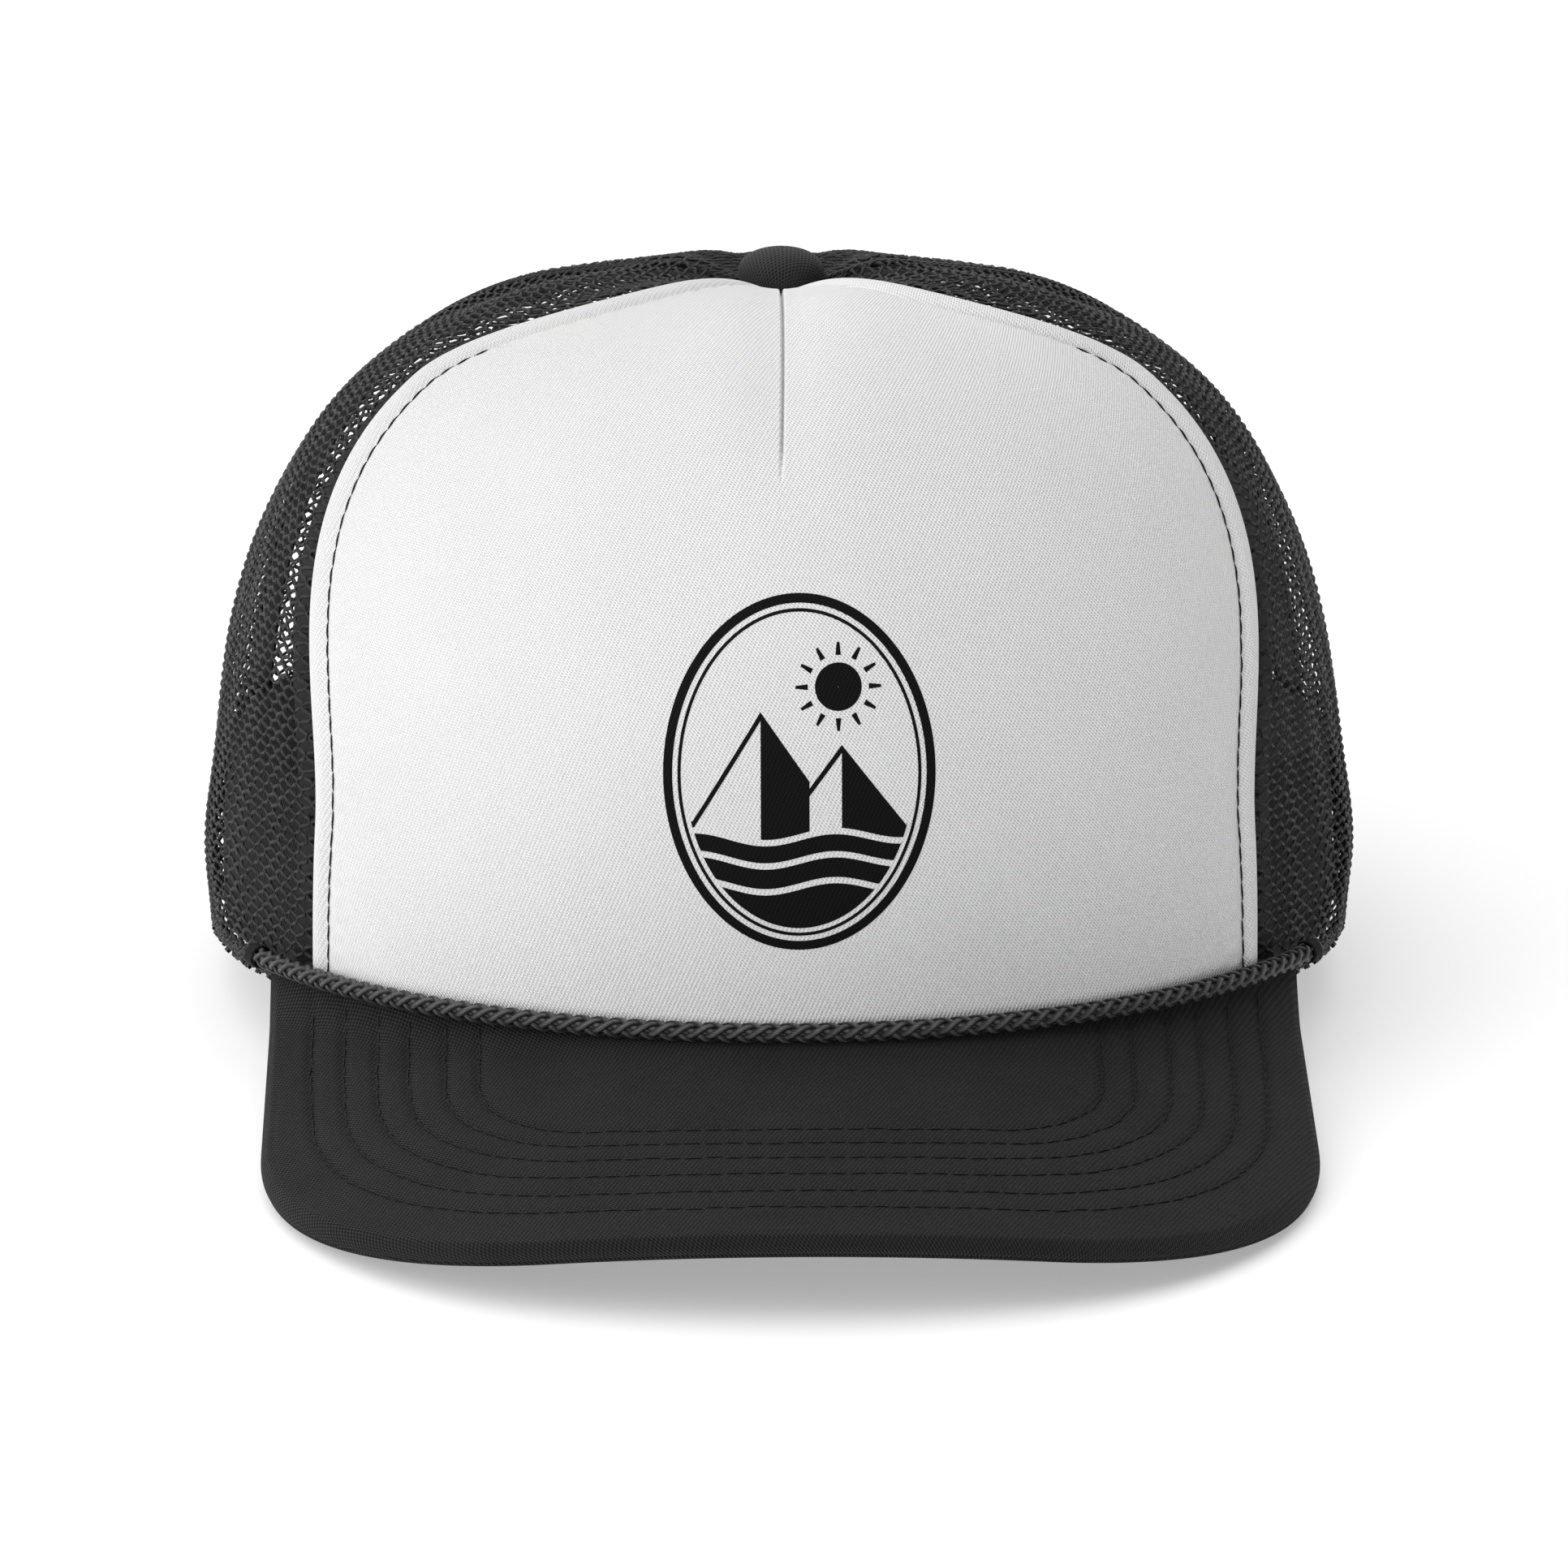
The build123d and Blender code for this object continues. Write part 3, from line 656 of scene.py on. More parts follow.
class Badge(Shape):
    """Flat figures laid on the front panel, from millimetres across and up from their middle."""

    def lay(self, across, up):
        height = up + BADGE_HEIGHT
        level = height / CROWN_HEIGHT
        azimuth = np.degrees(np.arcsin((across + BADGE_SIDE) / width_at(level)))
        points = crown(azimuth, level, front_lift(azimuth, level) + PRINT_LIFT)
        self.grid(points, np.stack([across, height], axis=-1))

    def ring(self, inner, outer, middle=(0.0, 0.0), steps=240):
        turn = np.linspace(0, 2 * math.pi, steps + 1)
        t = np.linspace(0, 1, 5)[:, None]
        half_x = inner[0] + (outer[0] - inner[0]) * t
        half_z = inner[1] + (outer[1] - inner[1]) * t
        self.lay(middle[0] + half_x * np.sin(turn), middle[1] + half_z * np.cos(turn))

    def strip(self, bottom, top, start, end):
        """What lies between two curves and inside the badge's field."""
        across = np.linspace(start, end, max(8, int((end - start) / 0.25)))
        edge = FIELD[1] * np.sqrt(np.clip(1 - (across / FIELD[0]) ** 2, 0, 1))
        low, high = np.maximum(bottom(across), -edge), np.minimum(top(across), edge)
        high = np.maximum(high, low)
        t = np.linspace(0, 1, 40)[:, None]
        self.lay(across + 0 * t, low + (high - low) * t)


FIELD = (17.6, 23.6)       # the badge inside its rings


def badge():
    shape = Badge()
    shape.ring((19.6, 25.6), BADGE)
    shape.ring((18.3, 24.3), (18.8, 24.8))
    sun = (6.0, 13.2)
    shape.ring((0.05, 0.05), (3.6, 3.6), sun, 60)
    for turn in np.radians(np.arange(0, 360, 30)):
        t = np.linspace(0, 1, 6)
        width = np.linspace(-0.42, 0.42, 4)[:, None]
        reach = 4.7 + 1.9 * t
        shape.lay(
            sun[0] + reach * math.cos(turn) - width * math.sin(turn) * (1 - 0.5 * t),
            sun[1] + reach * math.sin(turn) + width * math.cos(turn) * (1 - 0.5 * t),
        )

    def shore(x):
        return -9.0 + 0.9 * np.sin(x / 3.4)

    def great_hill(x):
        return np.interp(x, (-17.6, -6.0, 1.5), (-9.0, 9.5, -1.0))

    def small_hill(x):
        return np.interp(x, (-1.5, 6.5, 17.6), (-6.0, 4.5, -9.5))

    shape.strip(shore, great_hill, -6.0, 1.5)
    shape.strip(lambda x: great_hill(x) - 1.3, great_hill, -17.0, -6.0)
    shape.strip(shore, small_hill, 6.5, 17.0)
    shape.strip(lambda x: small_hill(x) - 1.2, small_hill, 1.5, 6.5)
    shape.strip(lambda x: 0 * x - 30.0, lambda x: shore(x) - 8.6, -17.0, 17.0)
    shape.strip(lambda x: shore(x) - 7.6, lambda x: shore(x) - 4.6, -17.0, 17.0)
    shape.strip(lambda x: shore(x) - 3.6, lambda x: shore(x) - 1.0, -17.0, 17.0)
    shape.build("front_print", PRINT_INK)


badge()

# ---- mesh panels ----
CHAIN_PITCH = 2.1
MESH_REPEAT = 3.0
STRAND = 0.29
SEAM_FOLD = 4.0            # the mesh is doubled this far from the front seam
SEAM_ALLOWANCE = 8.5       # the turned edge behind it
HEM_ROWS = 7


def outside_arch(points, margin):
    """True where a point at the back is outside the opening grown by a margin."""
    x = points[..., 0] / (ARCH_HALF_WIDTH + margin)
    z = points[..., 2] / (ARCH_HEIGHT + margin)
    return (x**2 + z**2 > 1) | (points[..., 1] < 0)


def panel_sag(azimuth, level, travel):
    """The mesh's own gentle waves, and where it stands out: low on the sides, behind the button."""
    point = crown_outside(azimuth, level)
    on_side = smooth((azimuth - 60.0) / 16.0) * (1 - smooth((azimuth - 126.0) / 16.0))
    low_side = 1.5 * on_side * bell(point[..., 2] - 15.0, 11.0)
    off_button = np.hypot(point[..., 0], point[..., 1] - BUTTON_Y)
    behind = 1.6 * bell(off_button - 17.0, 8.0) * smooth((azimuth - 75.0) / 30.0)
    waves = 0.55 * ripples(azimuth * RIM_DEGREE, travel, 17, 38.0) * smooth(travel / 15)
    return waves + low_side + behind


def mesh_panel(name, start, end, side):
    """Open knit of zigzag chains that run up the panel and touch in turn."""
    shape = Shape()
    travel = np.arange(0.0, TOP_TRAVEL, MESH_REPEAT / 10)
    level = level_at(travel)
    middle = (start(level) + end(level)) / 2
    scale = per_degree(middle, level)
    half = (end(level) - start(level)) / 2 * scale - 0.25
    count = int(half.max() / CHAIN_PITCH) + 1
    for layer in (0, 1) if start is front_seam else (0,):
        for i in range(-count, count + 1):
            phase = 2 * math.pi * travel / MESH_REPEAT + math.pi * (i % 2)
            phase = phase + 0.5 * ripples(travel, 0 * travel + 3.0 * i, 19, 14.0)
            zigzag = np.clip(1.6 * np.sin(phase), -1, 1) * (CHAIN_PITCH / 2 - 0.1)
            drift = 0.17 * ripples(travel, 0 * travel + 5.0 * i, 23, 9.0)
            drift = drift + 0.1 * ripples(travel, 0 * travel + 5.0 * i, 29, 2.6)
            place = (i + 0.5 * layer) * CHAIN_PITCH
            across = place + zigzag + drift
            azimuth = middle + across / scale
            to_seam = np.abs(azimuth - start(level)) * scale
            lift = -0.45 + panel_sag(azimuth, level, travel) + 0.16 * np.sin(phase * 2 + i)
            if start is front_seam:
                lift = lift - 1.5 * (1 - smooth(to_seam / SEAM_FOLD))
            lift = lift - 1.1 * layer
            points = crown(side * azimuth, level, lift)
            keep = (np.abs(place) < half) & outside_arch(points, 6.5)
            if layer:
                keep = keep & (to_seam < SEAM_FOLD)
            edges = np.flatnonzero(np.diff(np.concatenate([[0], keep.astype(int), [0]])))
            normals = crown_normal(side * azimuth, level)
            thick = STRAND * (1.0 + 0.35 * (1 - smooth(travel / 9)))
            thick = thick * (1 + 0.3 * np.cos(2 * phase))
            for a, b in zip(edges[::2], edges[1::2]):
                if b - a >= 4:
                    shape.tubes(
                        points[None, a:b], normals[None, a:b], thick[a:b], thick[a:b] * 0.9, sides=4
                    )
    for line, inward in ((start, 1), (end, -1)):
        edge = side * (line(level) + inward * 0.75 / per_degree(line(level), level))
        lift = -0.35 - (1.4 if line is front_seam else 0.0) + panel_sag(np.abs(edge), level, travel)
        keep = outside_arch(crown(edge, level, lift), 6.0)
        normals = crown_normal(edge, level)[keep]
        for j in range(4):
            turn = 2 * math.pi * travel / MESH_REPEAT / 1.5 + j * math.pi / 2
            wander = 0.1 * ripples(travel, 0 * travel + 9.0 * j, 31, 3.0)
            sway = (0.34 * np.cos(turn) + wander) / per_degree(edge, level)
            strand = crown(edge + sway, level, lift + 0.22 * np.sin(turn))[keep]
            shape.tubes(strand[None], normals[None], 0.25, 0.22, sides=5)
    if start is front_seam:
        level = level[::8]
        fold = np.linspace(0.2, SEAM_ALLOWANCE, 9)[:, None]
        azimuth = start(level) + fold / per_degree(start(level), level)
        lift = panel_sag(azimuth, level, travel[::8]) - 1.95
        cloth = pair(fold, travel[::8])
        shape.grid(crown(side * azimuth, level, lift)[:, ::side], cloth[:, ::side])
    shape.build(name, MESH, replaces=(name,), slot="mesh")


for side, side_name in ((-1, "left"), (1, "right")):
    mesh_panel(f"{side_name}_side_mesh", front_seam, side_seam, side)
    mesh_panel(f"{side_name}_back_mesh", side_seam, rear_seam, side)


def mesh_hem(name, side):
    """The folded lower edge of the mesh, from the visor's end to the opening's binding."""
    azimuth = side * np.linspace(50.0, 145.0, 900)
    run = np.abs(azimuth) * RIM_DEGREE
    shape = Shape()
    core = crown(azimuth, 1.7 / CROWN_HEIGHT + 0 * azimuth, -0.55)
    normals = crown_normal(azimuth, 1.7 / CROWN_HEIGHT + 0 * azimuth)
    shape.tubes(core[None], normals[None], 1.4, 0.4, sides=10)
    for j in range(HEM_ROWS):
        row = (j + 0.5) / HEM_ROWS
        wander = ripples(run, 0 * run + 4.0 * j, 37, 6.0)
        phase = 2 * math.pi * run / CHAIN_PITCH + j * math.pi + 0.8 * wander
        height = 0.35 + 3.0 * row + 0.2 * np.sin(phase) + 0.1 * wander
        bulge = 0.55 * math.sin(math.pi * row) ** 0.5
        lift = -0.62 + bulge + 0.14 * np.sin(phase * 0.5 + j) + 0.06 * wander
        points = crown(azimuth, height / CROWN_HEIGHT, lift)
        thick = 0.25 * (1 + 0.25 * np.cos(phase))
        shape.tubes(points[None], normals[None], thick, 0.22, sides=5)
    shape.build(name, MESH)
    thread = Shape()
    line = crown(azimuth, 3.0 / CROWN_HEIGHT + 0 * azimuth, 0.16)
    stitches(thread, line[20:-20], normals[20:-20], thick=0.16)
    thread.build(f"{name}_thread", BLACK_THREAD)


mesh_hem("left_mesh_hem", -1)
mesh_hem("right_mesh_hem", 1)


def arch_point(turn, out, lift):
    """A point this far outside the opening's edge, by the turn round its arch."""
    x = (ARCH_HALF_WIDTH + out) * np.cos(turn)
    level = (ARCH_HEIGHT + out) * np.sin(turn) / CROWN_HEIGHT
    azimuth = 180.0 - np.degrees(np.arcsin(x / width_at(level)))
    return crown(azimuth, level, lift), crown_normal(azimuth, level)


def rear_binding():
    """Tape folded round the opening's edge, sewn through near its outer border."""
    turn = np.linspace(0, math.pi, 420)[:, None]
    around = np.linspace(0, 2 * math.pi, 41)[:-1]
    out = 4.0 + 4.0 * rounded(np.cos(around), 0.4)
    face = rounded(np.sin(around), 0.5)
    sunk = 0.3 * bell(out - 6.2, 0.8) * (1 + 0.3 * np.cos(turn * 56 * 2 * math.pi / 3.0))
    puff = 0.2 * bell(out - 3.0, 2.2)
    lift = -0.4 + (1.0 + puff - sunk) * face + 0.08 * ripples(turn * 56, out, 71, 12.0)
    points, _ = arch_point(turn, out + 0 * turn, lift)
    shape = Shape()
    cloth = pair(turn * 56, out * np.where(face > 0, 1, -1))
    shape.grid(points, cloth, ring=True)
    shape.build("rear_binding", BINDING_CLOTH, replaces=("rear_binding",), slot="binding")
    thread = Shape()
    fine = np.linspace(0.03, math.pi - 0.03, 900)
    for lift, way in ((0.42, 1), (-1.22, -1)):
        line, normals = arch_point(fine, 6.2 + 0 * fine, lift)
        stitches(thread, line, normals * way, thick=0.17)
    thread.build("rear_binding_thread", BLACK_THREAD)


rear_binding()

# ---- seam tapes and sweatband ----
TAPE_HALF = 6.5


def seam_tape(name, seam, side, depth, low_level=0.01):
    """Twill tape over a seam, inside, with its two rows of stitches."""
    travel = np.linspace(travel_at(low_level), TOP_TRAVEL - 9.0, 200)
    level = level_at(travel)[:, None]
    profile = np.concatenate([np.linspace(-1, 1, 17), np.linspace(1, -1, 17)])
    top = np.concatenate([np.ones(17), -np.ones(17)])
    rim_share = np.sqrt(np.clip(1 - np.abs(profile) ** 8, 0, 1))
    centre = seam(level)
    scale = per_degree(centre, level)
    azimuth = side * (centre + profile * TAPE_HALF / scale)
    press = 0.12 * bell(np.abs(profile) * TAPE_HALF - 5.0, 0.6)
    lift = -depth - 0.35 + top * (0.35 * rim_share - press)
    points = crown(azimuth, level, lift)
    shape = Shape()
    shape.grid(points, pair(profile * TAPE_HALF, travel[:, None]), ring=True)
    shape.build(name, TAPE_CLOTH, replaces=(name,), slot="seam_tape")
    thread = Shape()
    for row in (-1, 1):
        azimuth = side * (centre + row * 5.0 / scale)[:, 0]
        flat_level = level[:, 0]
        normal = -crown_normal(azimuth, flat_level)
        line = crown(azimuth, flat_level, -depth - 0.66)
        stitches(thread, line, normal, thick=0.15)
    thread.build(f"{name}_thread", BLACK_THREAD)


for side, side_name in ((-1, "left"), (1, "right")):
    seam_tape(f"front_{side_name}_seam_tape", front_seam, side, 4.1)
    seam_tape(f"side_{side_name}_seam_tape", side_seam, side, 1.0)
seam_tape(
    "rear_center_seam_tape", rear_seam, 1, 1.0, (ARCH_HEIGHT + BINDING_WIDTH + 1) / CROWN_HEIGHT
)


def band_depth(azimuth):
    return 5.0 - 3.1 * smooth((np.abs(azimuth) - 62.0) / 22.0)


def sweatband():
    azimuth = np.linspace(-BAND_END, BAND_END, 561)[:, None]
    turn = np.linspace(0, 2 * math.pi, 49)[:-1]
    # a flattened ring: long faces towards the crown and the head, rounded top and bottom
    up = rounded(np.sin(turn), 0.35)
    out = rounded(np.cos(turn), 0.5)
    height = 0.8 + 16.0 * (1 + up)
    inner = out < 0
    sewn = bell(height - 3.2, 0.9) + bell(height - 29.6, 0.9)
    puff = 0.25 * ripples(azimuth * RIM_DEGREE, height + 0 * azimuth, 41, 26.0)
    pucker = 0.12 * np.cos(2 * math.pi * azimuth * RIM_DEGREE / 3.2) * bell(height - 3.2, 2.5)
    thick = 0.9 + inner * (0.35 * bell(height - 16.0, 12.0) - 0.3 * sewn)
    end = smooth((BAND_END - np.abs(azimuth)) / 0.8)
    lift = -band_depth(azimuth) - 0.9 + out * thick * (0.25 + 0.75 * end)
    lift = lift - inner * (np.maximum(puff, -0.2) + pucker) * 0.6
    level = np.broadcast_to(height / CROWN_HEIGHT, lift.shape)
    points = crown(np.broadcast_to(azimuth, lift.shape), level, lift)
    shape = Shape()
    around = np.where(inner, -height, height) + 0 * azimuth
    cloth = pair(azimuth * RIM_DEGREE, around)
    shape.grid(points, cloth, ring=True)
    band = shape.build("sweatband", BAND_CLOTH, replaces=("sweatband",), slot="sweatband")

    thread = Shape()
    line_azimuth = np.linspace(-BAND_END + 0.6, BAND_END - 0.6, 900)
    for row in (3.2, 29.6):
        row_level = row / CROWN_HEIGHT + 0 * line_azimuth
        normal = -crown_normal(line_azimuth, row_level)
        line = crown(line_azimuth, row_level, -band_depth(line_azimuth) - 1.5)
        stitches(thread, line, normal, thick=0.17)
    thread.build("sweatband_thread", BLACK_THREAD)


sweatband()


def foam_panel():
    """Foam behind the front knit: its inner face, its edges and its outer face."""
    columns = np.linspace(-1, 1, 161)
    level = level_at(np.linspace(0, TOP_TRAVEL, 111))[:, None]
    azimuth = columns * (front_seam(level) - 0.1)
    to_edge = (front_seam(level) - np.abs(azimuth)) * per_degree(azimuth, level)
    side = crown_outside(azimuth, level)[..., 0]
    squeeze = 1.1 * bell(to_edge - topstitch_inset(level), 2.0)
    crease = 0.8 * smooth((CROWN_HEIGHT * level - DART_LOW) / 8.0) * bell(side, 1.2)
    inner = -4.0 + squeeze + crease + 0.25 * ripples(side, travel_at(level), 53, 30.0)
    inner = np.minimum(inner, -2.2)
    outer = -1.6 - squeeze * 0.3 - crease
    dip = button_dip(azimuth, level)
    shape = Shape()
    inside, outside = (crown(azimuth, level, lift - dip) for lift in (inner, outer))
    ring = np.concatenate([inside, outside[:, ::-1]], axis=1)
    across = azimuth * RIM_DEGREE
    cloth = pair(np.concatenate([across, across[:, ::-1]], axis=1), travel_at(level))
    shape.grid(ring, cloth, ring=True)
    foam = shape.build("front_foam", FOAM, replaces=("front_foam",), slot="front_foam")


foam_panel()

# ---- visor ----
FRONT_ROWS = (9.9, 15.0, 20.4, 25.5, 30.1, 34.5)   # stitch rows, from the edge
SIDE_ROWS = (7.3, 12.6, 17.9, 22.9, 28.8, 34.1)
LIP_SEAM, LIP_BEAD = -0.38, 1.1       # round the front edge, as angles from its middle
SEAM_END, SEAM_TOP = 60.4, 4.9        # of the cloth turned up against the crown
SWEEP_REACH, SWEEP_TOP = 7.0, 3.7     # of the top cloth's rise towards it
DEEPEST = 62.0                        # the innermost row of the covers, from the edge


def visor_point(x, along, height):
    """A point of the visor from its plane's axes and a height over its arch."""
    slope = math.radians(VISOR_SLOPE)
    up = np.sqrt((VISOR_BEND + height) ** 2 - x**2) - VISOR_BEND
    return np.stack(
        [
            x,
            -FRONT_REACH + along * math.cos(slope) - up * math.sin(slope),
            along * math.sin(slope) + up * math.cos(slope),
        ],
        axis=-1,
    )


def visor_outline(inset, count):
    """Half outline of the visor at an inset, from the middle of its front to the crown."""
    front = VISOR_FRONT_RADIUS - inset
    side = VISOR_HALF_WIDTH - inset
    centre = VISOR_FRONT_RADIUS - VISOR_REACH
    corner = max(VISOR_CORNER_RADIUS - inset, 7.0)
    corner = min(corner, side * 0.9)
    corner_x = side - corner
    corner_y = centre - math.sqrt((front - corner) ** 2 - corner_x**2)
    turn = math.atan2(corner_x, centre - corner_y)
    arcs = [
        (front * math.sin(t), centre - front * math.cos(t)) for t in np.linspace(0, turn, 60)
    ]
    arcs += [
        (corner_x + corner * math.sin(t), corner_y - corner * math.cos(t))
        for t in np.linspace(turn, math.pi / 2, 40)[1:]
    ]
    arcs += [(side, y) for y in np.linspace(corner_y, corner_y + 120.0, 80)[1:]]
    line = np.array(arcs)
    middle = visor_point(line[:, 0], line[:, 1], 0.0)
    reach = (middle[:, 0] / (HALF_WIDTH + 0.1)) ** 2 + (middle[:, 1] / (FRONT_REACH + 0.1)) ** 2
    inside = (reach < 1) | (middle[:, 1] > 0)
    last = max(int(np.argmax(inside)) if inside.any() else len(line) - 1, 1)
    share = 1.0
    if inside.any():
        share = (reach[last - 1] - 1) / max(reach[last - 1] - reach[last], 1e-9)
    tip = line[last - 1] + (line[last] - line[last - 1]) * min(max(share, 0.0), 1.0)
    return resample(np.concatenate([line[:last], [tip]]), None, count)[0]


VISOR_COLUMNS = 151
visor_insets = np.concatenate([np.linspace(0, 40, 100), np.linspace(40, DEEPEST, 32)[1:]])
half_lines = np.array([visor_outline(d, VISOR_COLUMNS) for d in visor_insets])
whole = np.concatenate([half_lines[:, :0:-1] * (-1, 1), half_lines], axis=1)
share_out = np.abs(np.linspace(-1, 1, whole.shape[1]))


def outline_at(inset):
    """The visor's plan line at an inset, which may differ along it."""
    inset = np.broadcast_to(inset, (whole.shape[1],))
    i = np.clip(np.searchsorted(visor_insets, inset) - 1, 0, len(visor_insets) - 2)
    t = (inset - visor_insets[i]) / (visor_insets[i + 1] - visor_insets[i])
    column = np.arange(whole.shape[1])
    return whole[i, column] * (1 - t)[:, None] + whole[i + 1, column] * t[:, None]


def cloth_at(reach):
    """Plan line at a distance along the cloth from the edge, carried on past the edge."""
    if reach >= 0:
        return outline_at(reach)
    return whole[0] + (whole[0] - whole[2]) / (visor_insets[2] - visor_insets[0]) * -reach


on_side = smooth((share_out - 0.45) / 0.45)
stitch_rows = [front + (side - front) * on_side for front, side in zip(FRONT_ROWS, SIDE_ROWS)]


def quilt(inset, along, scale):
    """Height of the padded cloth over the board: sunk at the stitch rows."""
    groove = 0.1 + 0.34 * smooth((share_out - 0.35) / 0.5)
    height = 0.10 * ripples(along, inset + 0 * along, 61, 40.0)
    for i, row in enumerate(stitch_rows):
        pucker = 1 + 0.35 * np.cos(2 * math.pi * along / VISOR_STITCH + i)
        height = height - scale * groove * bell(inset - row, 1.0) * pucker
    return height


def swept(points):
    """The top cloth turned up where it meets the crown."""
    off_crown = np.hypot(points[..., 0] / HALF_WIDTH, points[..., 1] / FRONT_REACH) - 1
    share = np.clip(1 - off_crown * FRONT_REACH / SWEEP_REACH, 0, 1) ** 2
    turned = points.copy()
    turned[..., 2] += share * np.maximum(SWEEP_TOP - points[..., 2], 0)
    return turned


def visor_seam(shape):
    """The cloth turned up against the crown, over the knit's lower edge, behind the rope."""
    azimuth = np.linspace(-SEAM_END, SEAM_END, 500)
    foot = crown_outside(azimuth, 0 * azimuth)
    arch = np.sqrt((VISOR_BEND + HALF_VISOR) ** 2 - foot[:, 0] ** 2) - VISOR_BEND
    slope = math.radians(VISOR_SLOPE)
    along = (foot[:, 1] + FRONT_REACH + arch * math.sin(slope)) / math.cos(slope)
    low = along * math.sin(slope) + arch * math.cos(slope)
    top = SEAM_TOP + 0.12 * ripples(azimuth * RIM_DEGREE, 0 * azimuth, 83, 9.0)
    t = np.linspace(0, 1, 14)[:, None]
    height = low - 0.7 + (top - low + 0.7) * np.sin(t * math.pi / 2)
    lift = 0.1 + 1.25 * np.clip(np.cos(t * math.pi / 2), 0, 1) ** 0.8
    lift = lift * (0.3 + 0.7 * smooth((SEAM_END - np.abs(azimuth)) / 3.0))
    points = crown(azimuth, 0 * height, lift)
    points[..., 2] += height
    shape.grid(points, pair(azimuth * RIM_DEGREE, height))


def visor_cover(name, face, thread_name):
    """The visor's top (face 1) or underside (face -1), with its share of the rounded edge."""
    along = run_along(whole[0])
    rows, heights, cloth = [], [], []
    padding, start = (1.0, 0.02) if face > 0 else (0.7, 0.37)
    lip = np.radians(np.linspace(-38, 88, 32) if face > 0 else np.linspace(-42, -88, 8))
    for angle in lip:
        reach = HALF_VISOR - 0.3 * bell(angle - LIP_SEAM, 0.1) + 0.12 * bell(angle - LIP_BEAD, 0.22)
        rows.append(outline_at(max(HALF_VISOR - reach * math.cos(angle), 0.0) + start))
        heights.append(reach * math.sin(angle) + 0 * along)
        cloth.append(cloth_at(HALF_VISOR * (1 - math.pi / 2 + face * angle)))
    for inset in np.concatenate([np.linspace(2.6, 40, 150), np.linspace(40, DEEPEST, 34)[1:]]):
        rows.append(outline_at(inset))
        heights.append(face * (HALF_VISOR + quilt(inset, along, padding)))
        cloth.append(rows[-1])
    plan, height, cloth = np.array(rows), np.array(heights), np.array(cloth)
    points = visor_point(plan[..., 0], plan[..., 1], height)
    if face > 0:
        points = swept(points)
    shape = Shape()
    shape.grid(points[:, ::face], cloth[:, ::face])
    if face > 0:
        visor_seam(shape)
    shape.build(name, VISOR_CLOTH, replaces=(name,), slot="visor_fabric")

    thread = Shape()
    for inset in stitch_rows:
        line = outline_at(inset)
        height = face * (HALF_VISOR + quilt(inset, along, padding) + 0.1)
        points = visor_point(line[:, 0], line[:, 1], height)
        normal = visor_point(line[:, 0], line[:, 1], height + face) - points
        if face > 0:
            points = swept(points)
        stitches(
            thread, points[3:-3], normal[3:-3], pitch=VISOR_STITCH, thick=0.16,
            wobble=0.08, sink=0.14,
        )
    thread.build(thread_name, VISOR_THREAD)


visor_cover("visor_top_cover", 1, "visor_top_thread")
visor_cover("visor_under_cover", -1, "visor_under_thread")

# ---- rope ----
ROPE_STANDOFF, ROPE_RISE, ROPE_END_X = 2.2, 4.2, 84.0


def rope():
    """Eight strands braided two over two, four each way round."""
    half_width, reach = HALF_WIDTH + ROPE_STANDOFF, FRONT_REACH + ROPE_STANDOFF
    end = math.asin(ROPE_END_X / half_width)
    turn = np.linspace(-end, end, 4000)
    line = np.stack(
        [half_width * np.sin(turn), -reach * np.cos(turn), ROPE_RISE + 0 * turn], axis=-1
    )
    line = resample(line, 0.42)[0]
    run = run_along(line)
    ahead = unit(np.gradient(line, axis=0))
    up = np.array([0.0, 0.0, 1.0]) + 0 * ahead
    out = unit(np.cross(ahead, up))
    crossing = 1.5
    speed = math.pi / 4 / crossing
    shape = Shape()
    for way in (1, -1):
        for j in range(4):
            angle = 2 * math.pi * j / 4 + way * speed * run
            phase = 2 * j + way * run / crossing
            over = way * np.clip(1.6 * np.cos(math.pi / 2 * (phase - 0.5)), -1, 1)
            radius = 1.1 + 0.2 * over
            around = out * np.cos(angle)[:, None] + up * np.sin(angle)[:, None]
            centre = line + around * radius[:, None]
            shape.tubes(centre[None], around[None], 0.54, 0.3, sides=8)
    shape.tubes(line[None], out[None], 0.95, 0.95, sides=8)
    shape.build("visor_rope", ROPE, replaces=("visor_rope",), slot="rope")

    for side, name in ((-1, "rope_bartack_left"), (1, "rope_bartack_right")):
        k = 0 if side < 0 else -1
        heading = ahead[k] * side
        tack = Shape()
        wraps = np.linspace(0, 1, 240)
        angle = wraps * 2 * math.pi * 7
        radius = 1.75 - 0.15 * wraps
        around = out[k] * np.cos(angle)[:, None] + up[k] * np.sin(angle)[:, None]
        centre = line[k] + np.outer(0.2 + 2.7 * wraps, heading) + around * radius[:, None]
        tack.tubes(centre[None], unit(around)[None], 0.26, 0.22, sides=6)
        plug = line[k] + np.outer(np.linspace(0.0, 3.0, 14), heading)
        size = 1.6 * np.sqrt(np.clip(1 - np.linspace(0, 0.999, 14) ** 6, 0.02, 1))
        tack.tubes(plug[None], np.broadcast_to(out[k], plug.shape)[None], size, size, sides=12)
        tack.build(name, BLACK_THREAD, replaces=(name,), slot="rope")


rope()

# ---- button ----
BUTTON_SIDE = 0.3          # the cloth is gathered a little to the right


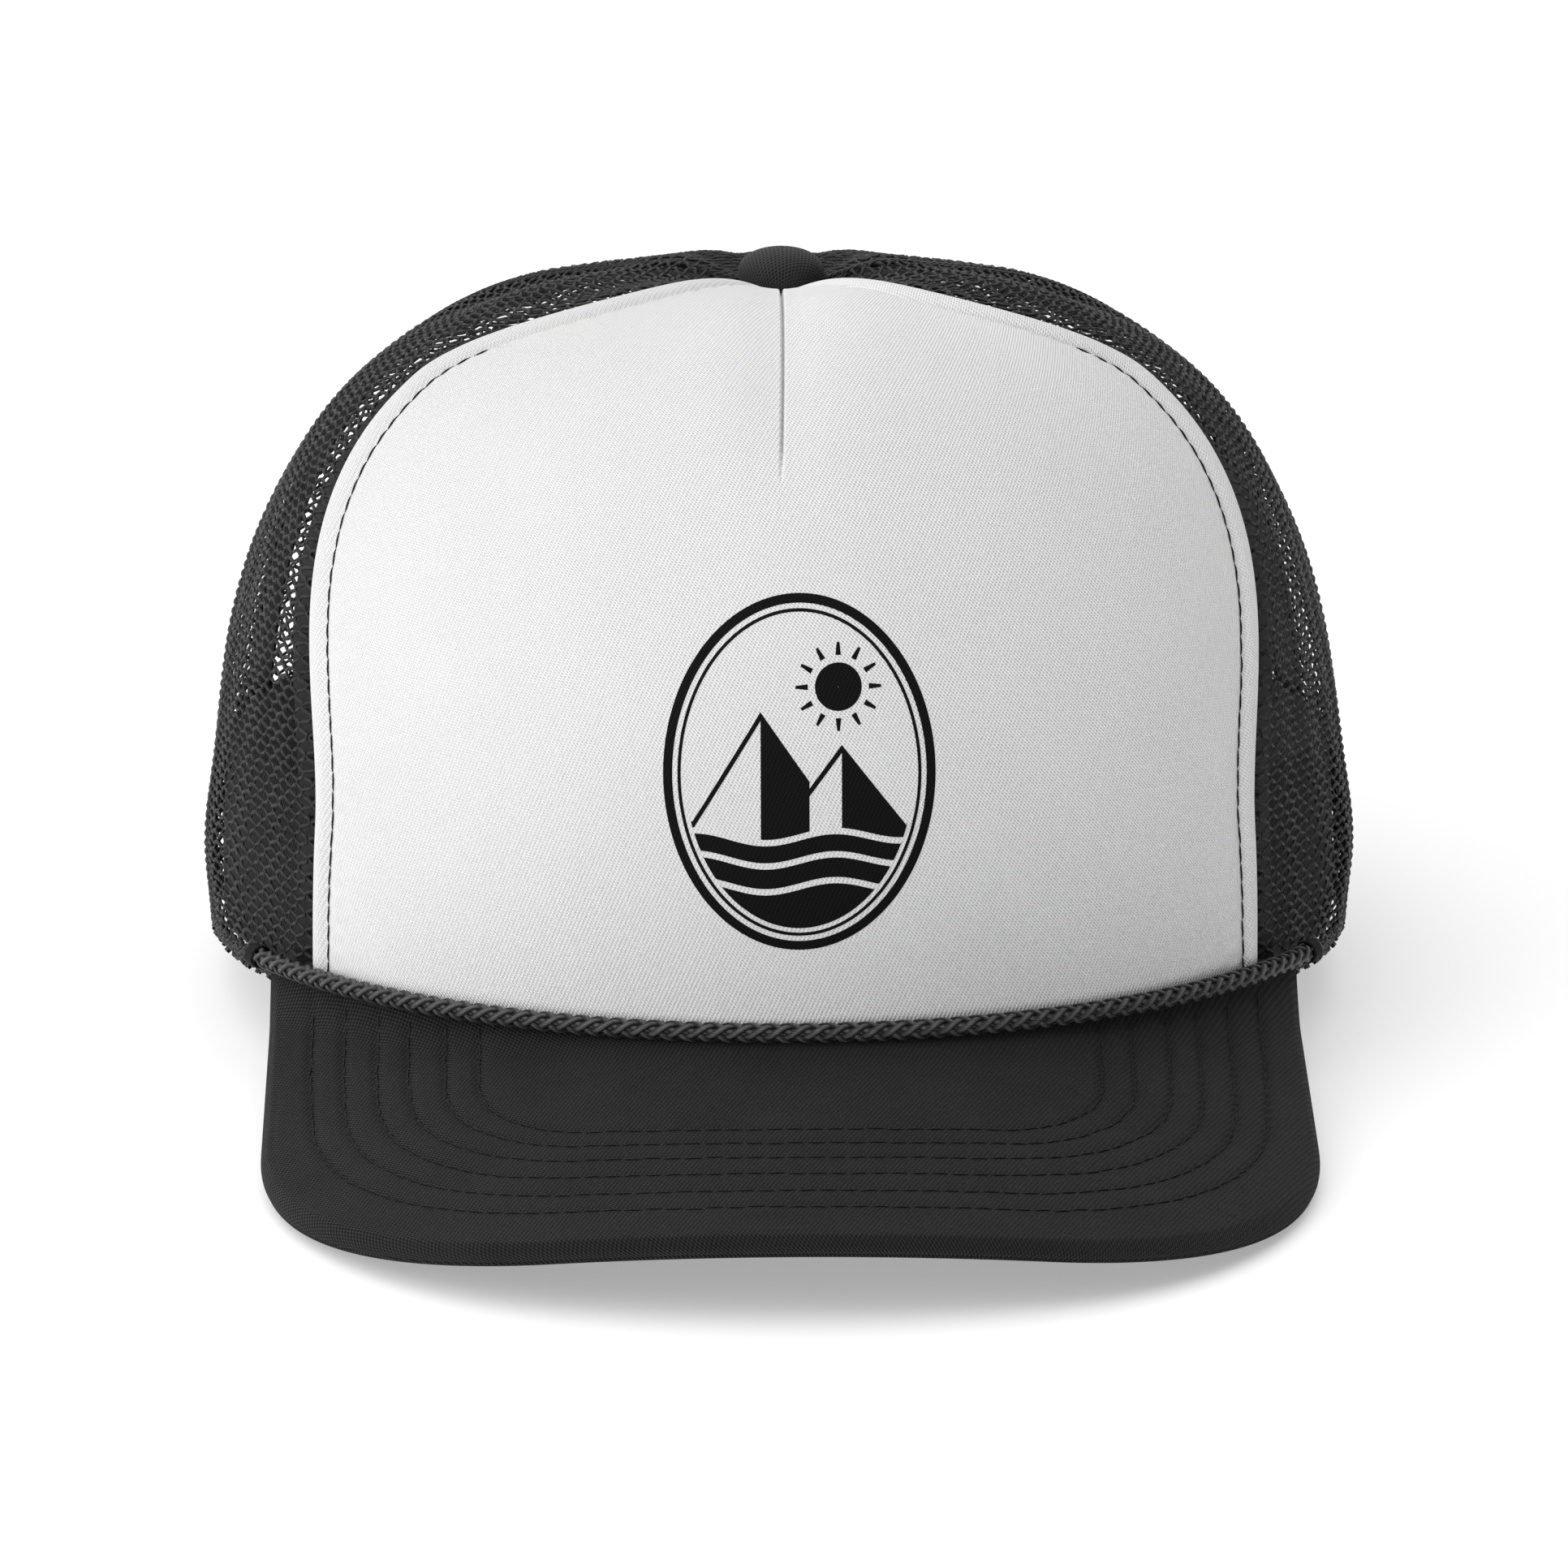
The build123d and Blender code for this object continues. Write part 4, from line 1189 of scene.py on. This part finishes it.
def button():
    radius, rise, belly = 7.05, 4.4, 1.3
    shape = Shape()
    t = np.linspace(0.02, 1, 40)[:, None]
    turn = np.linspace(0, 2 * math.pi, 97)[:-1]
    reach = radius * np.sin(t * math.pi / 2) ** 0.95
    height = BUTTON_HEIGHT + belly + rise * np.cos(t * math.pi / 2) ** 0.85
    under = np.linspace(0, math.pi / 2, 12)[1:, None]
    reach = np.concatenate([reach, radius - 2.2 * (1 - np.cos(under))])
    height = np.concatenate([height, BUTTON_HEIGHT + belly - (belly + 2.2) * np.sin(under)])
    points = np.stack(
        [
            BUTTON_SIDE + reach * np.sin(turn), BUTTON_Y - reach * np.cos(turn),
            np.broadcast_to(height, (len(height), len(turn))),
        ],
        axis=-1,
    )
    arc = np.concatenate([[0.0], np.cumsum(np.hypot(np.diff(reach[:, 0]), np.diff(height[:, 0])))])
    cloth = arc[:, None, None] * np.stack([np.sin(turn), np.cos(turn)], axis=-1)
    shape.grid(points, cloth, ring=True)
    shape.build("button_cover", BUTTON_CLOTH, replaces=("button_cover",), slot="button_fabric")


button()

# ---- snap straps ----
TAB_JOIN_X, TAB_END_X, FREE_END_X, FREE_END_RADIUS = 45.0, 56.0, 15.0, 6.0
HOLE_DEPTH, STUD_DEPTH = 3.2, 4.4      # the straps' mid-surfaces below the crown
HOLE_RADIUS = 2.35
SNAPS = (-1, 0, 1, 2, 3, 4)
SNAP_HEIGHT = STRAP_LOW + STRAP_HEIGHT / 2


class StrapLine:
    """A strap's middle line: flat past the hinge, an arc, then along the crown."""

    def __init__(self, depth):
        self.half_width, self.reach = HALF_WIDTH - depth, BACK_REACH - depth
        join_y = self.crown_y(TAB_JOIN_X)
        self.turn = math.atan((self.reach / self.half_width) ** 2 * TAB_JOIN_X / join_y)
        self.radius = (TAB_JOIN_X - HINGE_X) / math.sin(self.turn)
        self.flat_y = join_y + self.radius * (1 - math.cos(self.turn))
        self.join = HINGE_X + self.radius * self.turn
        x = np.linspace(TAB_JOIN_X, TAB_END_X, 60)
        y = self.crown_y(x)
        steps = np.hypot(np.diff(x), np.diff(y))
        self.tail_run = self.join + np.concatenate([[0.0], np.cumsum(steps)])
        self.tail_x, self.tail_y = x, y
        self.end = float(self.tail_run[-1])

    def crown_y(self, x):
        return self.reach * np.sqrt(1 - (x / self.half_width) ** 2)

    def bend(self, flat, side):
        """Points (run, height from the snaps' row, offset outwards) as the strap lies."""
        run, height, offset = flat[:, 0], flat[:, 1], flat[:, 2]
        turn = np.clip((run - HINGE_X) / self.radius, 0, self.turn)
        x = np.minimum(run, HINGE_X) + self.radius * np.sin(turn)
        y = self.flat_y - self.radius * (1 - np.cos(turn))
        on_tail = run > self.join
        x = np.where(on_tail, np.interp(run, self.tail_run, self.tail_x), x)
        y = np.where(on_tail, np.interp(run, self.tail_run, self.tail_y), y)
        tail_turn = np.arctan((self.reach / self.half_width) ** 2 * x / np.maximum(y, 1))
        turn = np.where(on_tail, tail_turn, turn)
        return np.stack(
            [
                side * (x + offset * np.sin(turn)), y + offset * np.cos(turn),
                SNAP_HEIGHT + height,
            ],
            axis=-1,
        )


SIDE_STEPS = np.linspace(-STRAP_HEIGHT / 2, STRAP_HEIGHT / 2, 10)


def end_half_height(run):
    """Half the strap's height near its rounded free end."""
    past = np.clip(FREE_END_RADIUS - FREE_END_X - run, 0, FREE_END_RADIUS)
    return STRAP_HEIGHT / 2 - FREE_END_RADIUS + np.sqrt(FREE_END_RADIUS**2 - past**2)


def plain_cell(start, end):
    run = np.linspace(start, end, max(2, int((end - start) / 0.8) + 1))[:, None]
    height = SIDE_STEPS * end_half_height(run) / (STRAP_HEIGHT / 2)
    return np.stack([run + 0 * height, height], axis=-1)


def hole_cell(start, end, middle):
    """Rings of points from a hole to the outline of its stretch of the strap."""
    across = np.linspace(start, end, 9)
    outline = [(end, z) for z in SIDE_STEPS[:-1]]
    outline += [(x, STRAP_HEIGHT / 2) for x in across[:0:-1]]
    outline += [(start, z) for z in SIDE_STEPS[:0:-1]]
    outline += [(x, -STRAP_HEIGHT / 2) for x in across]
    outline = np.array(outline)
    corner = np.stack(
        [
            np.full(len(outline), FREE_END_RADIUS - FREE_END_X),
            np.sign(outline[:, 1]) * (STRAP_HEIGHT / 2 - FREE_END_RADIUS),
        ],
        axis=-1,
    )
    off = outline - corner
    cut = (outline[:, 0] < corner[:, 0]) & (np.abs(outline[:, 1]) > np.abs(corner[:, 1]))
    outline = np.where(cut[:, None], corner + unit(off) * FREE_END_RADIUS, outline)
    centre = np.array([middle, 0.0])
    hole = centre + unit(outline - centre) * HOLE_RADIUS
    t = np.array([0.0, 0.1, 0.3, 0.6, 1.0])[:, None, None]
    rings = hole + (outline - hole) * t
    return np.concatenate([rings, rings[:, :1]], axis=1)


def strap(name, depth, side, holes, nodes):
    """One half of the snap closure, bending where the CAD has its hinge."""
    line = StrapLine(depth)
    cells = []
    half = SNAP_PITCH / 2
    for n in SNAPS:
        middle = n * SNAP_PITCH
        start = -FREE_END_X if n == SNAPS[0] else middle - half
        if holes:
            cells.append(hole_cell(start, middle + half, middle))
        else:
            cells.append(plain_cell(start, middle + half))
    cells.append(plain_cell(SNAPS[-1] * SNAP_PITCH + half, line.end))
    shape = Shape()
    for cell in cells:
        shape.grid(np.concatenate([cell, 0 * cell[..., :1]], axis=-1))
    sheet = bmesh.new()
    verts = [sheet.verts.new(p) for p in np.concatenate(shape.points)]
    for quad in np.concatenate(shape.quads):
        sheet.faces.new([verts[i] for i in quad])
    bmesh.ops.remove_doubles(sheet, verts=sheet.verts, dist=0.01)
    bmesh.ops.recalc_face_normals(sheet, faces=sheet.faces)
    made = bmesh.ops.extrude_face_region(sheet, geom=sheet.faces[:])
    for vert in (v for v in made["geom"] if isinstance(v, bmesh.types.BMVert)):
        vert.co.z += STRAP_THICKNESS
    bmesh.ops.translate(sheet, verts=sheet.verts, vec=(0, 0, -STRAP_THICKNESS / 2))
    bmesh.ops.recalc_face_normals(sheet, faces=sheet.faces)
    sharp = [e for e in sheet.edges if len(e.link_faces) == 2 and e.calc_face_angle() > 1.2]
    bmesh.ops.bevel(
        sheet, geom=sharp, offset=0.2, offset_type="OFFSET", segments=3, profile=0.5,
        affect="EDGES", clamp_overlap=True,
    )
    if not holes:
        for n in SNAPS:
            stud(sheet, n * SNAP_PITCH)
    flat = np.array([v.co for v in sheet.verts])
    for vert, place in zip(sheet.verts, in_row(line.bend(flat, side))):
        vert.co = place
    bmesh.ops.recalc_face_normals(sheet, faces=sheet.faces)
    mesh = bpy.data.meshes.new(name)
    sheet.to_mesh(mesh)
    sheet.free()
    mesh.shade_smooth()
    mesh.materials.append(STRAP)
    piece = bpy.data.objects.new(name, mesh)
    bpy.context.collection.objects.link(piece)
    hinge = [(HINGE_X + reach, 0.0, STRAP_THICKNESS / 2) for reach in (4.0, -4.0)]
    start, end = in_row(line.bend(np.array(hinge), side))
    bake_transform(piece)
    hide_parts(*nodes)


STUD_PROFILE = (
    (1.95, 0.0), (1.6, 0.12), (1.5, 0.4), (1.5, 1.15), (1.72, 1.32), (1.82, 1.55), (1.72, 1.95),
    (1.45, 2.15), (0.9, 2.2), (0.02, 2.2),
)


def stud(sheet, run):
    """Adds a snap stud on the outer face of a flat strap."""
    turns = [2 * math.pi * i / 28 for i in range(28)]
    rings = [
        [
            sheet.verts.new((run + r * math.cos(t), r * math.sin(t), STRAP_THICKNESS / 2 + h))
            for t in turns
        ]
        for r, h in STUD_PROFILE
    ]
    for low, high in zip(rings, rings[1:]):
        for i in range(len(turns)):
            j = (i + 1) % len(turns)
            sheet.faces.new([low[i], low[j], high[j], high[i]])


strap("snap_hole_strap", HOLE_DEPTH, 1, True, ("hole_strap", "hole_strap_tab"))
strap("snap_stud_strap", STUD_DEPTH, -1, False, ("stud_strap", "stud_strap_tab"))

# ---- CAD nodes that stay ----
for node, material in (
    ("visor_board", BOARD), ("button_shell", METAL), ("button_rivet", METAL),
    ("button_washer", METAL),
):
    materials = frame["nodes"][node].data.materials
    materials.clear()
    materials.append(material)

# ---- floor, light and camera ----
FLOOR_REACH = 40.0         # metres to each side
floor_mesh = bpy.data.meshes.new("floor")
corners = [(x * FLOOR_REACH, y * FLOOR_REACH, 0) for x, y in ((-1, -1), (1, -1), (1, 1), (-1, 1))]
floor_mesh.from_pydata(corners, [], [(0, 1, 2, 3)])
floor_looks = Looks("floor", (0.74, 0.74, 0.74), 0.9, Specular_IOR_Level=0.0)
mottle = floor_looks.noise(400.0, 2.0)
floor_looks.colour(floor_looks.ramp(mottle, 0.3, 0.7, (0.73, 0.73, 0.73), (0.75, 0.75, 0.75)))
floor_looks.shader.inputs["Emission Color"].default_value = (1, 1, 1, 1)
floor_looks.shader.inputs["Emission Strength"].default_value = 0.34
floor_mesh.materials.append(floor_looks.material)
floor = bpy.data.objects.new("floor", floor_mesh)
bpy.context.collection.objects.link(floor)


def area_light(name, place, target, size, power):
    data = bpy.data.lights.new(name, "AREA")
    data.shape = "RECTANGLE"
    data.size, data.size_y = size
    data.energy = power
    light = bpy.data.objects.new(name, data)
    light.location = place
    light.rotation_euler = (Vector(target) - Vector(place)).to_track_quat("-Z", "Y").to_euler()
    bpy.context.collection.objects.link(light)


AIM = tuple(in_row([0.0, 0.0, 50.0]))
area_light("key", (-1.42, -0.9, 1.15), AIM, (1.2, 1.2), 7.0)
area_light("front", (-0.5, -1.6, 0.3), AIM, (1.0, 0.5), 4.2)
sky_data = bpy.data.lights.new("sky", "SUN")
sky_data.energy, sky_data.angle = 0.9, math.radians(70.0)
sky = bpy.data.objects.new("sky", sky_data)
sky.rotation_euler = (math.radians(-8.0), 0.0, 0.0)
bpy.context.collection.objects.link(sky)

# a bright studio with one dark side, to the front and right
world = bpy.data.worlds.new("studio")
world.use_nodes = True
nodes, links = world.node_tree.nodes, world.node_tree.links
nodes["Background"].inputs["Color"].default_value = (1, 1, 1, 1)
place = nodes.new("ShaderNodeTexCoord")
toward = nodes.new("ShaderNodeVectorMath")
toward.operation = "DOT_PRODUCT"
toward.inputs[1].default_value = (0.84, -0.54, 0.05)
shade = nodes.new("ShaderNodeMapRange")
shade.interpolation_type = "SMOOTHSTEP"
shade.inputs["From Min"].default_value, shade.inputs["From Max"].default_value = -0.1, 0.85
shade.inputs["To Min"].default_value, shade.inputs["To Max"].default_value = 1.0, 0.05
links.new(place.outputs["Generated"], toward.inputs[0])
links.new(toward.outputs["Value"], shade.inputs["Value"])
links.new(shade.outputs[0], nodes["Background"].inputs["Strength"])
bpy.context.scene.world = world
bpy.context.scene.view_settings.view_transform = "Standard"

ELEVATION, TURN, DISTANCE = math.radians(12.0), math.radians(1.16), 1500.0
AIM_UP, AIM_RIGHT = 21.1, 1.0          # of the rim's middle
back = np.array(
    [
        -math.sin(TURN) * math.cos(ELEVATION), -math.cos(TURN) * math.cos(ELEVATION),
        math.sin(ELEVATION),
    ]
)
right = unit(np.cross([0, 0, 1.0], back))
above = np.cross(back, right)
eye = back * DISTANCE + above * AIM_UP + right * AIM_RIGHT
camera_data = bpy.data.cameras.new("camera")
camera_data.sensor_width = 36.0
camera_data.lens = 206.7
camera_data.clip_start, camera_data.clip_end = 0.05, 30.0
camera = bpy.data.objects.new("camera", camera_data)
axes = np.stack([right @ rim_axes, above @ rim_axes, back @ rim_axes])
placed = Matrix.Identity(4)
for i in range(3):
    for j in range(3):
        placed[j][i] = axes[i][j]
    placed[i][3] = in_row(eye)[i]
camera.matrix_world = placed
bpy.context.collection.objects.link(camera)
bpy.context.scene.camera = camera
